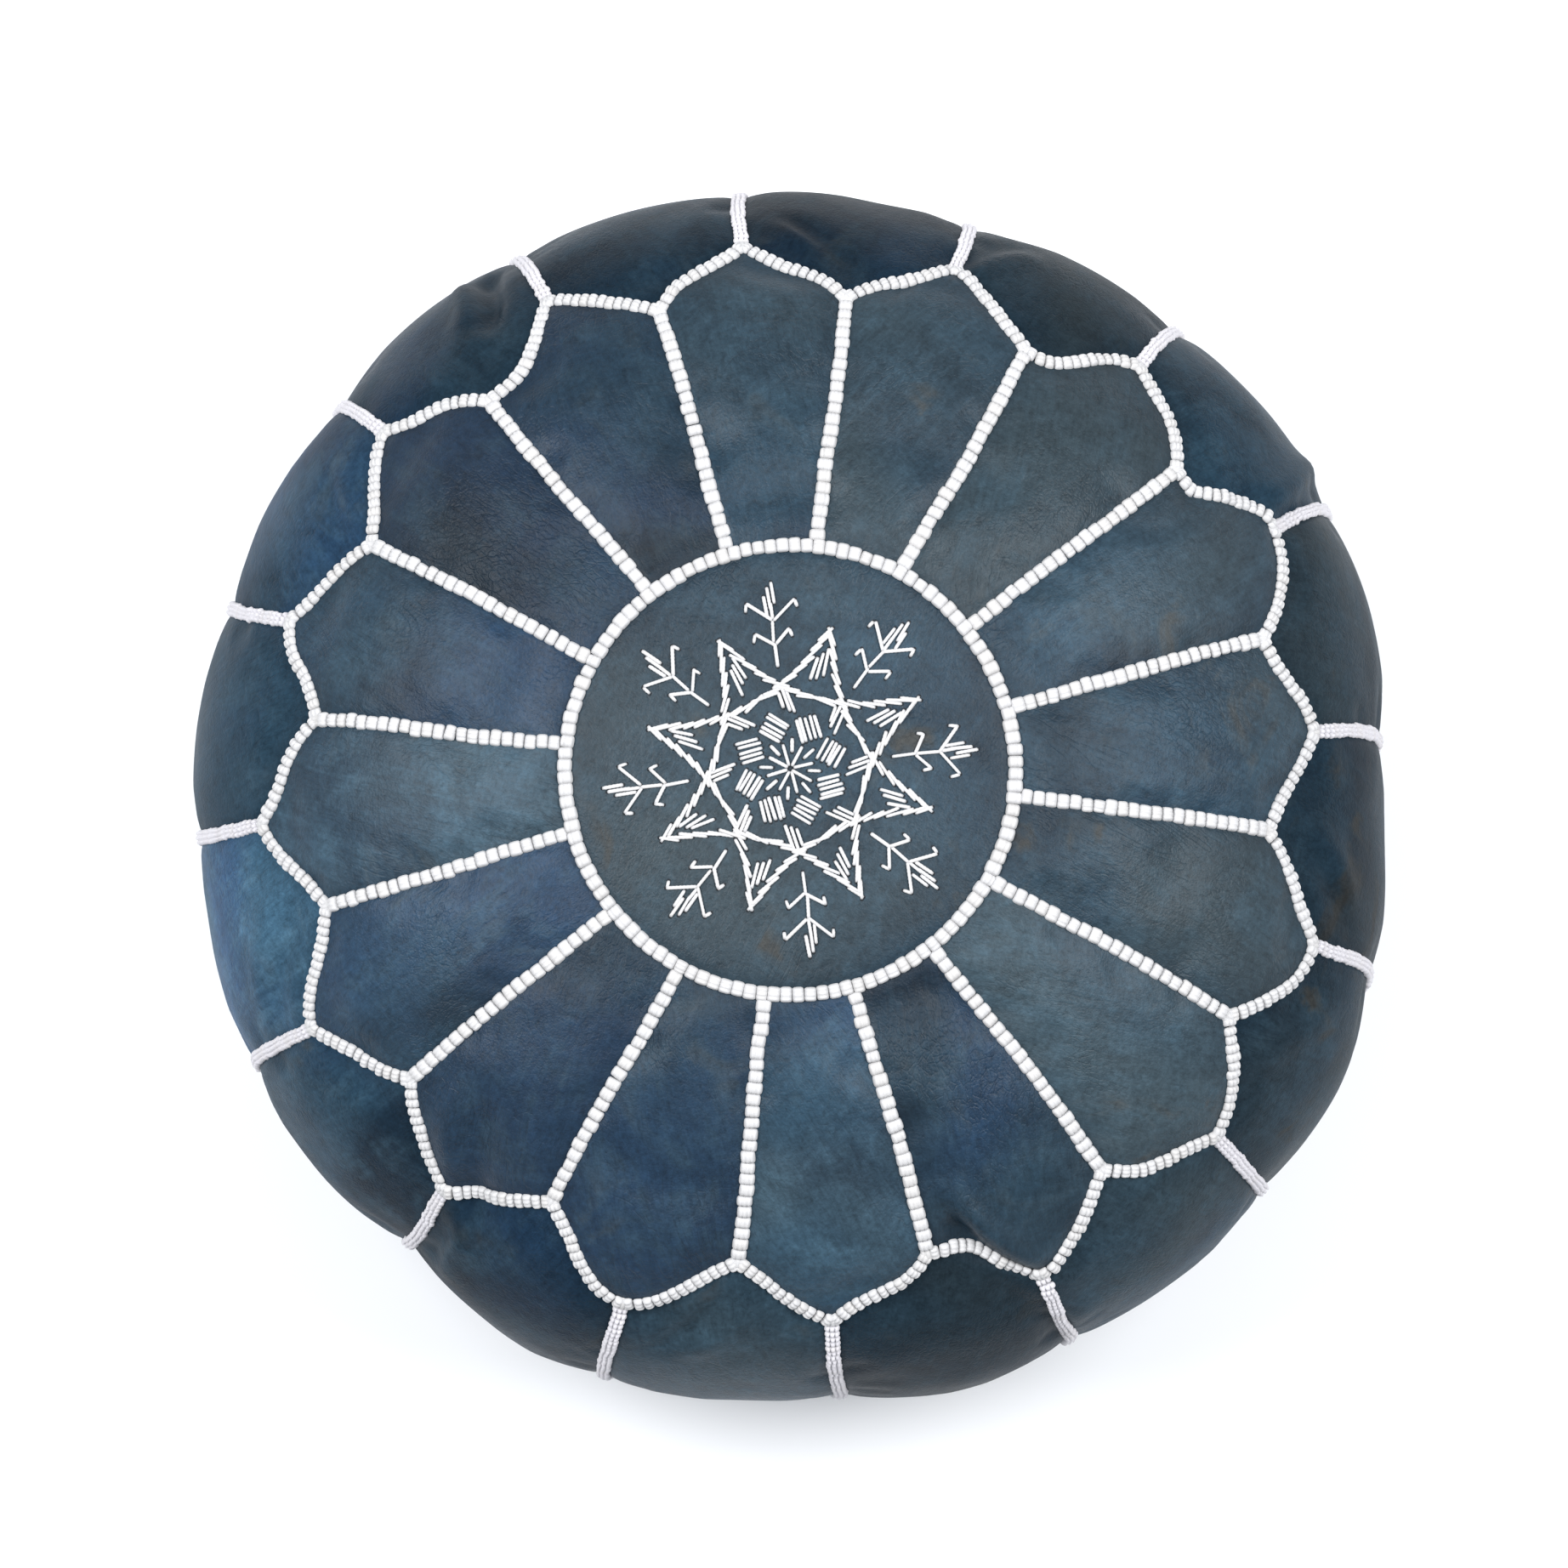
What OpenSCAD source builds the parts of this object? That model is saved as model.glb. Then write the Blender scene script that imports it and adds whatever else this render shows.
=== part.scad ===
// Round stuffed leather floor pouf: a petal-panelled top with an embroidered medallion, side panels that
// wrap under to a round base with a zip, and a stuffed liner inside. Millimetres, +Z up, floor at z = 0.

/* [Body] */
// Diameter at the widest part of the side
body_d = 530; // [510:5:550]
// Height from the floor to the middle of the top
body_h = 330; // [310:5:345]
// Height of the widest part of the side
belly_z = 150; // [140:5:160]
// Fullness of the upper half, where 2 is an ellipse and more is boxier
top_fullness = 2.7; // [2.5:0.1:2.9]
// Fullness of the lower half
low_fullness = 2.3; // [2.1:0.1:2.5]
// Radius at which the underside leaves the floor and turns up into the side
foot_r = 210; // [206:1:214]

/* [Leather panels] */
// Number of petals, and of side panels
panel_count = 16; // [12:2:16]
// Turn of the petal seams from the X axis, in degrees
seam_phase = 16; // [0:1:22]
// Leather with its cotton backing
leather_t = 2; // [1.6:0.2:2.4]
// Gap left at each seam
seam_gap = 0.2; // [0.1:0.1:0.4]
// Radius of the seam round the medallion
medallion_r = 94; // [90:1:98]
// Radius, from above, at which a petal seam meets the petal border
valley_r = 207; // [202:1:210]
// Radius, from above, of a petal's tip
peak_r = 231; // [228:1:235]
// How far a petal's border bows out from the straight line
border_bow = 3; // [0:0.5:5]

/* [Stitching] */
// Width of the corded stitch on the top's seams
cord_w = 5.8; // [4.6:0.1:6.4]
// Height of that stitch above the leather
cord_h = 1.8; // [1:0.1:2.2]
// Width of the flat three-row stitch down the side seams
side_stitch_w = 6.4; // [5:0.1:7]
// Height of the side stitch above the leather
side_stitch_h = 1.2; // [0.8:0.1:1.6]
// Width of one embroidery thread
thread_w = 1.3; // [1:0.1:1.6]
// Height of one embroidery thread
thread_h = 0.8; // [0.5:0.1:1]

/* [Embroidery] */
// Radius of the eight star points
star_r = 63; // [58:1:65]
// Radius at which neighbouring star lines cross
star_notch_r = 35; // [33:1:37]
// Turn of the star from the X axis, in degrees
star_phase = 29; // [0:1:44]
// Turn of the inner rosette from the X axis, in degrees
rosette_phase = 17; // [0:1:44]
// Radius of the ring of stitched squares
square_ring_r = 18.5; // [18:0.5:20]
// Radius of the fronds' outer ends
frond_r = 79; // [77:1:81]

/* [Base and zip] */
// Height of the base's raised middle, which keeps the zip off the floor
recess_z = 8; // [8:0.5:9]
// Radius of the raised middle
recess_r = 172; // [170:1:174]
// Length of the zip's row of teeth
zip_length = 270; // [240:10:270]
// Distance from one tooth to the next
tooth_pitch = 4; // [4:0.5:5]
// Width of the slit that the zip shows through
slit_w = 16; // [15:0.5:17]
// Width of one zip tape
tape_w = 15; // [13:0.5:16]
// Length of the pull tab from its hinge
tab_length = 27; // [22:1:28]
// How far the tab hangs down from the slider before its end nears the floor, in degrees
tab_hang = 8; // [4:1:8]

/* [Filling] */
// Thickness of the cotton liner
liner_t = 1; // [0.8:0.1:1.2]
// Clearance between leather, liner and filling
liner_gap = 0.4; // [0.3:0.1:0.6]

/* [Hidden] */
$fn = 96;

step = 360 / panel_count;
half_step = step / 2;
body_r = body_d / 2;
foot_inner_r = foot_r - 10;        // inner edge of the flat ring that stands on the floor
upper_steps = 16;
lower_steps = 10;
rise_steps = 7;
belly_i = upper_steps;             // places in the list of skin points
foot_i = upper_steps + lower_steps;
base_seam_i = foot_i + 4;
centre_i = foot_i + rise_steps + 2;

star_points = 8;
star_step = 360 / star_points;
border_steps = 5;                  // straight stretches from a valley to a petal's tip
float_gap = 0.05;                  // thread lies this far off the leather

slit_end = 7;                      // the slit runs this far past each end of the teeth
tape_t = 0.8;
tape_mid_z = recess_z + leather_t + 0.45;
tape_inner_y = 2.5;
tooth_half_h = 1.4;
tooth_l = 2.4;
row_inner_y = 0.4;
row_outer_y = 3.6;
slider_l = 14;
slider_w = 12.8;
slider_rest_x = zip_length / 2 - 8;
plate_t = 1.5;
channel_half_h = 1.9;
bridge_w = 3;
bridge_half_l = 5.5;
tunnel_h = 2;
bar_r = 0.8;
tab_t = 1.2;
tab_w = 8;
tab_hinge_z = -channel_half_h - plate_t - tunnel_h / 2;   // from the tape's mid plane
liner_floor_z = tape_mid_z + channel_half_h + plate_t + 1.2;

function two_digits(i) = str(i < 10 ? "0" : "", i);

// ---- The outer surface of the leather, as a half outline from the top's middle to the base's middle ----

function upper_point(t) = [
    body_r * pow(cos(t), 2 / top_fullness),
    belly_z + (body_h - belly_z) * pow(sin(t), 2 / top_fullness)];

function lower_point(t) = [
    foot_r + (body_r - foot_r) * pow(cos(t), 2 / low_fullness),
    belly_z - belly_z * pow(sin(t), 2 / low_fullness)];

function rise_point(s) = [
    foot_inner_r - s * (foot_inner_r - recess_r),
    recess_z * (1 - cos(180 * s)) / 2];

skin = concat(
    [for (i = [0:upper_steps]) upper_point(90 * (1 - i / upper_steps))],
    [for (i = [1:lower_steps]) lower_point(90 * i / lower_steps)],
    [for (i = [0:rise_steps]) rise_point(i / rise_steps)],
    [[0, recess_z]]);

base_seam_r = skin[base_seam_i][0];

function unit(v) = v / norm(v);
function edge_normal(a, b) = let (t = unit(b - a)) [-t[1], t[0]];
function skin_normal(i) =
    i == 0 ? [0, 1] :
    i == centre_i ? [0, -1] :
    unit(edge_normal(skin[i - 1], skin[i]) + edge_normal(skin[i], skin[i + 1]));

// A point of the outline, lifted off the leather's outer surface (negative is inside)
function skin_point(i, lift) = skin[i] + lift * skin_normal(i);

// Height of the top's outer surface at a distance from the middle
function top_z(r) =
    belly_z + (body_h - belly_z) * pow(1 - pow(r / body_r, top_fullness), 1 / top_fullness);

module layer_profile(first, last, inner, outer)
    polygon(concat(
        [for (i = [first:last]) skin_point(i, outer)],
        [for (i = [last:-1:first]) skin_point(i, inner)]));

// A wedge of a layer that follows the outline, centred on the X axis
module layer_sector(first, last, inner, outer, angle)
    rotate([0, 0, -angle / 2]) rotate_extrude(angle = angle) layer_profile(first, last, inner, outer);

module leather_sector(first, last)
    layer_sector(first, last, -leather_t, 0, step - 2 * asin(seam_gap / 2 / body_r));

// ---- The scalloped border between petals and side panels, seen from above ----

function direction(angle) = [cos(angle), sin(angle)];

// Radius of the border, where t is 0 at a valley and 1 at a petal's tip
function border_r(t) = valley_r + (peak_r - valley_r) * t + border_bow * sin(180 * t);

// From valley to valley over one petal's tip
function tip_line(lift) = [for (i = [-border_steps:border_steps])
    (border_r(1 - abs(i) / border_steps) + lift) * direction(half_step * i / border_steps)];

// From tip to tip through one valley
function valley_line(lift) = [for (i = [-border_steps:border_steps])
    (border_r(abs(i) / border_steps) + lift) * direction(half_step * i / border_steps)];

function petal_angle(i) = seam_phase + (i - 0.5) * step;
function side_panel_angle(i) = seam_phase + (i - 1) * step;

// ---- Leather ----

module medallion() color("#26404f")
    intersection() {
        rotate_extrude() layer_profile(0, 5, -leather_t, 0);
        cylinder(r = medallion_r - seam_gap / 2, h = body_h + 1);
    }

module petal(i) color("#2b4a5c")
    rotate([0, 0, petal_angle(i)])
        difference() {
            intersection() {
                leather_sector(2, 13);
                linear_extrude(body_h + 1) polygon(concat([[0, 0]], tip_line(-seam_gap / 2)));
            }
            cylinder(r = medallion_r + seam_gap / 2, h = body_h + 1);
        }

module side_panel(i) color("#233c4d")
    rotate([0, 0, side_panel_angle(i)])
        difference() {
            leather_sector(7, base_seam_i + 1);
            translate([0, 0, belly_z])
                linear_extrude(body_h)
                    polygon(concat(
                        [[0, 0]],
                        [border_r(1) * direction(-half_step - 3)],
                        valley_line(seam_gap / 2),
                        [border_r(1) * direction(half_step + 3)]));
            translate([0, 0, -1]) cylinder(r = base_seam_r + seam_gap / 2, h = 40);
        }

// The half disc on one side of the zip: side is -1 at the front, 1 at the rear
module base_panel(side) color("#22394a") {
    middle_gap = asin(seam_gap / 2 / base_seam_r);
    difference() {
        intersection() {
            rotate([0, 0, middle_gap + (side > 0 ? 0 : 180)])
                rotate_extrude(angle = 180 - 2 * middle_gap)
                    layer_profile(base_seam_i - 1, centre_i, -leather_t, 0);
            translate([0, 0, -1]) cylinder(r = base_seam_r - seam_gap / 2, h = 40);
        }
        translate([-zip_length / 2 - slit_end, -slit_w / 2, -1])
            cube([zip_length + 2 * slit_end, slit_w, 40]);
    }
}

// ---- Stitching ----

module medallion_cord_stitch() color("white")
    rotate_extrude()
        intersection() {
            layer_profile(1, 6, float_gap, cord_h);
            translate([medallion_r - cord_w / 2, 0]) square([cord_w, body_h + cord_h]);
        }

module petal_seam_cord_stitch() color("white")
    for (i = [1:panel_count])
        rotate([0, 0, side_panel_angle(i)])
            intersection() {
                layer_sector(2, 11, float_gap, cord_h, 4);
                translate([medallion_r + cord_w / 2 + 0.2, -cord_w / 2, belly_z])
                    cube([valley_r - medallion_r - cord_w - 1, cord_w, body_h]);
            }

module petal_border_cord_stitch() color("white")
    for (i = [1:panel_count])
        rotate([0, 0, petal_angle(i)])
            difference() {
                intersection() {
                    layer_sector(7, 13, float_gap, cord_h, step - 0.05);
                    linear_extrude(body_h + 10) polygon(concat([[0, 0]], tip_line(cord_w / 2 + 0.2)));
                }
                translate([0, 0, belly_z])
                    linear_extrude(body_h)
                        polygon(concat(
                            [[0, 0]],
                            [border_r(0) * direction(-half_step - 3)],
                            tip_line(-cord_w / 2 - 0.2),
                            [border_r(0) * direction(half_step + 3)]));
            }

module side_seam_flat_stitch() color("white")
    for (i = [1:panel_count])
        rotate([0, 0, petal_angle(i)])
            intersection() {
                layer_sector(9, belly_i + 8, float_gap, side_stitch_h, 3);
                union() {
                    translate([border_r(1) + cord_w / 2 + 0.5, -side_stitch_w / 2, belly_z - 1])
                        cube([body_r, side_stitch_w, body_h]);
                    translate([foot_r, -side_stitch_w / 2, 0]) cube([body_r, side_stitch_w, belly_z]);
                }
            }

// Short overcast stitches across the seam between side panels and base
module base_seam_stitches() color("white") {
    slope = atan2(
        skin[base_seam_i + 1][1] - skin[base_seam_i - 1][1],
        skin[base_seam_i - 1][0] - skin[base_seam_i + 1][0]);
    count = 96;
    for (i = [0:count - 1])
        rotate([0, 0, 360 * i / count])
            translate([base_seam_r, 0, skin[base_seam_i][1]])
                rotate([0, slope, 0])
                    translate([-2.5, -0.6, -0.75]) cube([5, 1.2, 0.6]);
}

// ---- Embroidery: straight stitches laid on the medallion ----

// One stitch between two points seen from above, lying on the top's surface
module laid_stitch(from, to) {
    span = norm(to - from);
    heading = atan2(to[1] - from[1], to[0] - from[0]);
    drop = top_z(norm(from)) - top_z(norm(to));
    translate([from[0], from[1], top_z(norm(from)) + 2 * float_gap])
        rotate([0, 0, heading])
            rotate([0, atan2(drop, span), 0])
                translate([0, -thread_w / 2, 0]) cube([norm([span, drop]), thread_w, thread_h]);
}

// One star line bows in past a star point and joins the points on either side of it
function star_line_point(y) =
    let (tip = star_r * direction(star_step), notch = star_notch_r * direction(star_step / 2),
         bow = (tip[0] - notch[0]) / (pow(tip[1], 2) - pow(notch[1], 2)))
    [notch[0] + bow * (pow(y, 2) - pow(notch[1], 2)), y];

module star_embroidery() color("white")
    for (i = [0:star_points - 1])
        rotate([0, 0, star_phase + i * star_step]) {
            reach = star_r * sin(star_step) - thread_w;
            stretches = 6;
            for (k = [0:stretches - 1])
                laid_stitch(
                    star_line_point(reach * (2 * k / stretches - 1)),
                    star_line_point(reach * (2 * (k + 1) / stretches - 1)));
        }

module rosette_embroidery() color("white")
    for (i = [0:star_points - 1])
        rotate([0, 0, rosette_phase + i * star_step]) {
            laid_stitch([1.9, 0], [10, 0]);
            rotate([0, 0, star_step / 2]) laid_stitch([7, 0], [11.8, 0]);
            for (k = [-2:2]) {
                across = 2.15 * k * direction(130);
                along = 4.9 * direction(40);
                middle = square_ring_r * direction(4);
                laid_stitch(middle + across - along, middle + across + along);
            }
        }

module frond_embroidery() color("white")
    for (i = [0:star_points - 1])
        rotate([0, 0, star_phase + (i + 0.5) * star_step]) {
            stem_start = frond_r - 34;
            laid_stitch([stem_start, 0], [frond_r - 11, 0]);
            for (side = [-1, 1]) {
                for (pair = [[8, 10], [17.5, 13]]) {
                    root = [stem_start + pair[0], side * thread_w * 0.5];
                    end = root + pair[1] * direction(side * 58);
                    laid_stitch(root, end);
                    laid_stitch(end, end - [3.5, 0]);
                }
                laid_stitch([frond_r - 12, side * 1.6], [frond_r - 2, side * 1.6]);
            }
            laid_stitch([frond_r - 10, 0], [frond_r, 0]);
        }

// ---- Zip: it runs along X behind the slit in the base, with its outer face down ----

module along_x(length) rotate([90, 0, 90]) linear_extrude(length) children();

module clamp_profile(half_h)
    polygon([[row_inner_y, -half_h], [row_outer_y, -half_h], [row_outer_y, -0.5], [tape_inner_y - 0.1, -0.5],
             [tape_inner_y - 0.1, 0.5], [row_outer_y, 0.5], [row_outer_y, half_h], [row_inner_y, half_h]]);

module on_zip(side) translate([0, 0, tape_mid_z]) mirror([0, side < 0 ? 1 : 0, 0]) children();

module zip_tape(side) color("#1b1c22")
    on_zip(side)
        translate([-zip_length / 2 - 10, tape_inner_y, -tape_t / 2]) cube([zip_length + 20, tape_w, tape_t]);

module zip_teeth(side) color("#b59a5a")
    on_zip(side)
        for (x = [-zip_length / 2 + (side > 0 ? tooth_pitch / 2 : 0) : tooth_pitch : zip_length / 2 - tooth_l])
            translate([x, 0, 0]) along_x(tooth_l) clamp_profile(tooth_half_h);

module zip_top_stops() color("#b59a5a")
    for (side = [-1, 1])
        on_zip(side) translate([zip_length / 2 + 1.5, 0, 0]) along_x(3) clamp_profile(tooth_half_h + 0.3);

module zip_bottom_stop() color("#b59a5a")
    on_zip(1)
        translate([-zip_length / 2 - 4, 0, 0])
            along_x(3.4)
                difference() {
                    square([2 * row_outer_y, 2 * tooth_half_h + 0.6], center = true);
                    for (side = [-1, 1])
                        translate([side * tape_inner_y + (side > 0 ? -0.1 : -1.9), -0.5]) square([2, 1]);
                }

// Two rows of machine stitches through leather and tape, on the outside of the leather
module zip_topstitch() color("white")
    for (side = [-1, 1])
        for (x = [-zip_length / 2 - 4 : 6.5 : zip_length / 2 - 1])
            translate([x, side * (slit_w / 2 + 3) - 0.4, recess_z - 0.55]) cube([5, 0.8, 0.5]);

module slider_plate_outline()
    polygon([[-slider_l / 2, -slider_w / 2 + 1.6], [-slider_l / 2 + 2.5, -slider_w / 2],
             [slider_l / 2 - 1, -slider_w / 2], [slider_l / 2, -slider_w / 2 + 1],
             [slider_l / 2, slider_w / 2 - 1], [slider_l / 2 - 1, slider_w / 2],
             [-slider_l / 2 + 2.5, slider_w / 2], [-slider_l / 2, slider_w / 2 - 1.6]]);

// Origin at the middle of the slider, in the tape's mid plane
module slider_body() {
    for (up = [0, 1])
        mirror([0, 0, up])
            difference() {
                translate([0, 0, -channel_half_h - plate_t])
                    linear_extrude(plate_t + 1) slider_plate_outline();
                translate([-slider_l, -4.4, -channel_half_h]) cube([2 * slider_l, 8.8, 3]);
            }
    translate([slider_l / 2 - 4, -0.25, -channel_half_h - 0.5]) cube([3.5, 0.5, 2 * channel_half_h + 1]);
    translate([0, bridge_w / 2, -channel_half_h - plate_t])
        rotate([90, 0, 0])
            linear_extrude(bridge_w)
                polygon([[-bridge_half_l, 0.5], [-bridge_half_l, -2], [-bridge_half_l + 1.6, -tunnel_h - 1.2],
                         [bridge_half_l - 1.6, -tunnel_h - 1.2], [bridge_half_l, -2], [bridge_half_l, 0.5],
                         [bridge_half_l - 1.8, 0.5], [bridge_half_l - 1.8, -tunnel_h + 0.6],
                         [bridge_half_l - 2.4, -tunnel_h], [-bridge_half_l + 2.4, -tunnel_h],
                         [-bridge_half_l + 1.8, -tunnel_h + 0.6], [-bridge_half_l + 1.8, 0.5]]);
}

module zip_slider() color("#c8ad6a")
    translate([slider_rest_x, 0, tape_mid_z]) slider_body();

// The tab hangs on a round bar through the bridge, and lies back along the closed teeth
module zip_pull_tab() color("#c8ad6a")
    translate([slider_rest_x, 0, tape_mid_z + tab_hinge_z]) rotate([0, -tab_hang, 0]) {
        rotate([90, 0, 0]) cylinder(r = bar_r, h = 7.2, center = true);
        translate([0, 0, -tab_t / 2])
            linear_extrude(tab_t)
                difference() {
                    polygon([[0, -3.6], [0, 3.6], [-tab_length + 10, tab_w / 2], [-tab_length + 3, tab_w / 2],
                             [-tab_length, tab_w / 2 - 2.5], [-tab_length, -tab_w / 2 + 2.5],
                             [-tab_length + 3, -tab_w / 2], [-tab_length + 10, -tab_w / 2]]);
                    translate([-6.4, -1.9]) square([6.5, 3.8]);
                }
    }

// ---- Liner and filling ----

module liner_top() color("#d9cfb8")
    rotate_extrude() layer_profile(0, belly_i, -leather_t - liner_gap - liner_t, -leather_t - liner_gap);

module liner_bottom() color("#d9cfb8") {
    outer = -leather_t - liner_gap;
    rotate_extrude()
        polygon(concat(
            [for (i = [belly_i:foot_i]) skin_point(i, outer)],
            [[recess_r, liner_floor_z], [0, liner_floor_z]],
            [[0, liner_floor_z + liner_t], [recess_r + 0.5, liner_floor_z + liner_t]],
            [for (i = [foot_i:-1:belly_i]) skin_point(i, outer - liner_t)]));
}

module filling() color("#efe9dc")
    rotate_extrude()
        polygon(concat(
            [for (i = [0:foot_i]) skin_point(i, -leather_t - 2 * liner_gap - liner_t)],
            [[recess_r + 1, liner_floor_z + liner_t + liner_gap], [0, liner_floor_z + liner_t + liner_gap]]));

// ---- Nodes ----

medallion();
for (i = [1:panel_count]) {
    petal(i);
    side_panel(i);
}
base_panel(-1);  // base_panel_front
base_panel(1);  // base_panel_rear
base_seam_stitches();
medallion_cord_stitch();
petal_seam_cord_stitch();
petal_border_cord_stitch();
side_seam_flat_stitch();
star_embroidery();
rosette_embroidery();
frond_embroidery();
zip_tape(-1);  // zip_tape_front
zip_tape(1);  // zip_tape_rear
zip_teeth(-1);  // zip_teeth_front
zip_teeth(1);  // zip_teeth_rear
zip_top_stops();
zip_bottom_stop();
zip_topstitch();
zip_slider();
zip_pull_tab();
liner_top();
liner_bottom();
filling();
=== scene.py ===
"""Sewn leather pouf: dyed hide panels, corded seams, an embroidered medallion and a zipped base, built
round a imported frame. Every length is in metres unless its name or its comment says otherwise."""

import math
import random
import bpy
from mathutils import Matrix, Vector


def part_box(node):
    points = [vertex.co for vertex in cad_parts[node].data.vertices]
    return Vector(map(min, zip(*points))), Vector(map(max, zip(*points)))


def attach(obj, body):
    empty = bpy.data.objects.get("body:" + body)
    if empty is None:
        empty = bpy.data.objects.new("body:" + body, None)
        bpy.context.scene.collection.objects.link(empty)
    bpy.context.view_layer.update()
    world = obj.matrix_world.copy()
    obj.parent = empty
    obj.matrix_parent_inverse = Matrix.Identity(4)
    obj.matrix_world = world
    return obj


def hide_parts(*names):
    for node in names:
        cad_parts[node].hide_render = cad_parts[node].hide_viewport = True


bl_info = {
    "name": "Sewn Leather Pouf",
    "version": (1, 0, 0),
    "blender": (4, 5, 0),
    "location": "View3D > Sidebar > Pouf",
    "description": "Sews, stuffs and stitches a round leather floor pouf",
    "category": "Add Mesh",
}

import bpy
import numpy as np
from bpy.props import FloatProperty, FloatVectorProperty, IntProperty, PointerProperty
from mathutils import Vector, noise

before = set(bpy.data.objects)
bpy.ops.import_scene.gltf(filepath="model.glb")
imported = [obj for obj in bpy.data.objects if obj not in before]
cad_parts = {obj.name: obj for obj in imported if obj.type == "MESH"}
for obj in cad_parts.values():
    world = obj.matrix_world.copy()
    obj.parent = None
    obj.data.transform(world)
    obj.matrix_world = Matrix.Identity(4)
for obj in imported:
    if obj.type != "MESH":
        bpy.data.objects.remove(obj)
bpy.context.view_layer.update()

MM = 0.001
PANELS = 16
STEP = 2 * math.pi / PANELS


# ---- Sizes that come from the frame ----


def node_points(node):
    return np.array([v.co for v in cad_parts[node].data.vertices])


def radii(node):
    points = node_points(node)
    return np.hypot(points[:, 0], points[:, 1])


def numbered(name, index):
    return f"{name}_{index:02d}"


SEAM_GAP = 0.1 * MM
BODY_R = radii("side_panel_01").max()
BODY_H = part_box("medallion")[1].z
BELLY_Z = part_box("liner_top")[0].z
MEDALLION_R = radii("medallion").max() + SEAM_GAP
PEAK_R = radii("petal_01").max() + SEAM_GAP
SIDE_POINTS = node_points("side_panel_01")
VALLEY_R = radii("side_panel_01")[SIDE_POINTS[:, 2] > BELLY_Z].min() - SEAM_GAP
BASE_SEAM_R = radii("base_panel_front").max() + SEAM_GAP
HIDE_T = 2 * MM
RECESS_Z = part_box("base_panel_front")[1].z - HIDE_T
FOOT_R = radii("side_panel_01")[SIDE_POINTS[:, 2] < 1e-5].max()
FOOT_INNER_R = FOOT_R - 10 * MM
RECESS_R = FOOT_INNER_R - 28 * MM
PETAL_MIDDLE = node_points("petal_01").mean(0)
PHASE = math.atan2(PETAL_MIDDLE[1], PETAL_MIDDLE[0]) - STEP / 2
STAR_R = MEDALLION_R * 0.665
STAR_NOTCH_R = STAR_R * 35 / 63
STAR_POINTS = 8
STAR_STEP = 2 * math.pi / STAR_POINTS
SLIT_HALF = 8 * MM
ZIP_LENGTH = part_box("zip_teeth_rear")[1].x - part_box("zip_teeth_front")[0].x
TOP_FULLNESS = 2.7
LOW_FULLNESS = 2.3

# How deep the seams sink into the cover, and how high the medallion stands over its ring
SEAM_SINK = 1.3 * MM
MEDALLION_CROWN = 1.6 * MM

# Over what length along the outline an unevenness fades in and out
FADE = 60 * MM

# How high a corded knot sits over its seam, and an embroidery thread over leather and over another thread
KNOT_LIFT = 0.5 * MM
THREAD_LIFT = 0.28 * MM
CROSSING_LIFT = 0.42 * MM

# How many sides and plies a thread has, and how long one twist of it is
THREAD_SIDES = 10
THREAD_PLIES = 2
TWIST_LENGTH = 3.2 * MM

# Where along a short straight stitch its path is given, and the way that the base faces
THREAD_PLACES = (0, 0.33, 0.67, 1)
DOWN = (0.0, 0.0, -1.0)

# The floor lies this far under the feet, so that the two surfaces don't fight
FLOOR_DROP = 0.3 * MM


# ---- Settings that a user would change ----


def length(name, about, default, low, high):
    return FloatProperty(name=name, description=about, default=default, min=low, max=high, unit="LENGTH",
                         precision=5)


def amount(name, about, default, low, high):
    return FloatProperty(name=name, description=about, default=default, min=low, max=high,
                         subtype="FACTOR")


def colour(name, about, default):
    return FloatVectorProperty(name=name, description=about, default=default, size=3, min=0, max=1,
                               subtype="COLOR")


class PoufHideSettings(bpy.types.PropertyGroup):
    main: colour("Main dye", "Petrol blue of the petals", (0.0142, 0.0340, 0.0540))
    deep: colour("Deep dye", "Where the dye has pooled", (0.006, 0.014, 0.024))
    pale: colour("Pale dye", "Where the hide took less dye", (0.034, 0.068, 0.096))
    indigo: colour("Indigo tint", "Bluer patches", (0.012, 0.032, 0.068))
    green: colour("Green tint", "Greener, greyer patches", (0.025, 0.039, 0.048))
    tan: colour("Tan tint", "Brown of the bare hide showing through", (0.034, 0.033, 0.029))
    swell: amount("Swell", "How much slack leather each panel has to swell with", 0.012, 0, 0.04)
    most_swell: length("Most swell", "How far the leather may swell past its seams", 9 * MM, 0, 0.02)
    thickness: length("Hide thickness", "Leather with its cotton backing", 1.7 * MM, 0.0008, 0.0025)
    fold_depth: amount("Fold depth", "Strength of the pressed-in folds", 1.4, 0, 2)
    grain: length("Grain size", "Distance between pores", 0.9 * MM, 0.0004, 0.003)


class PoufCordSettings(bpy.types.PropertyGroup):
    thread: colour("Thread", "Undyed white silk-like thread", (0.52, 0.52, 0.53))
    bead_l: length("Bead length", "Length of one knot of the corded stitch", 5.1 * MM, 0.003, 0.008)
    bead_w: length("Bead width", "Width of one knot of the corded stitch", 6.4 * MM, 0.003, 0.008)
    bead_h: length("Bead height", "Height of one knot above the leather", 2.4 * MM, 0.001, 0.003)
    border_l: length("Border bead length", "Length of a knot along the border", 4.1 * MM, 0.003, 0.006)
    flat_l: length("Flat stitch length", "Length of a stitch down the side", 3.5 * MM, 0.002, 0.005)
    flat_w: length("Flat stitch width", "Width of the three-row side seam", 6.5 * MM, 0.004, 0.008)


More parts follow.
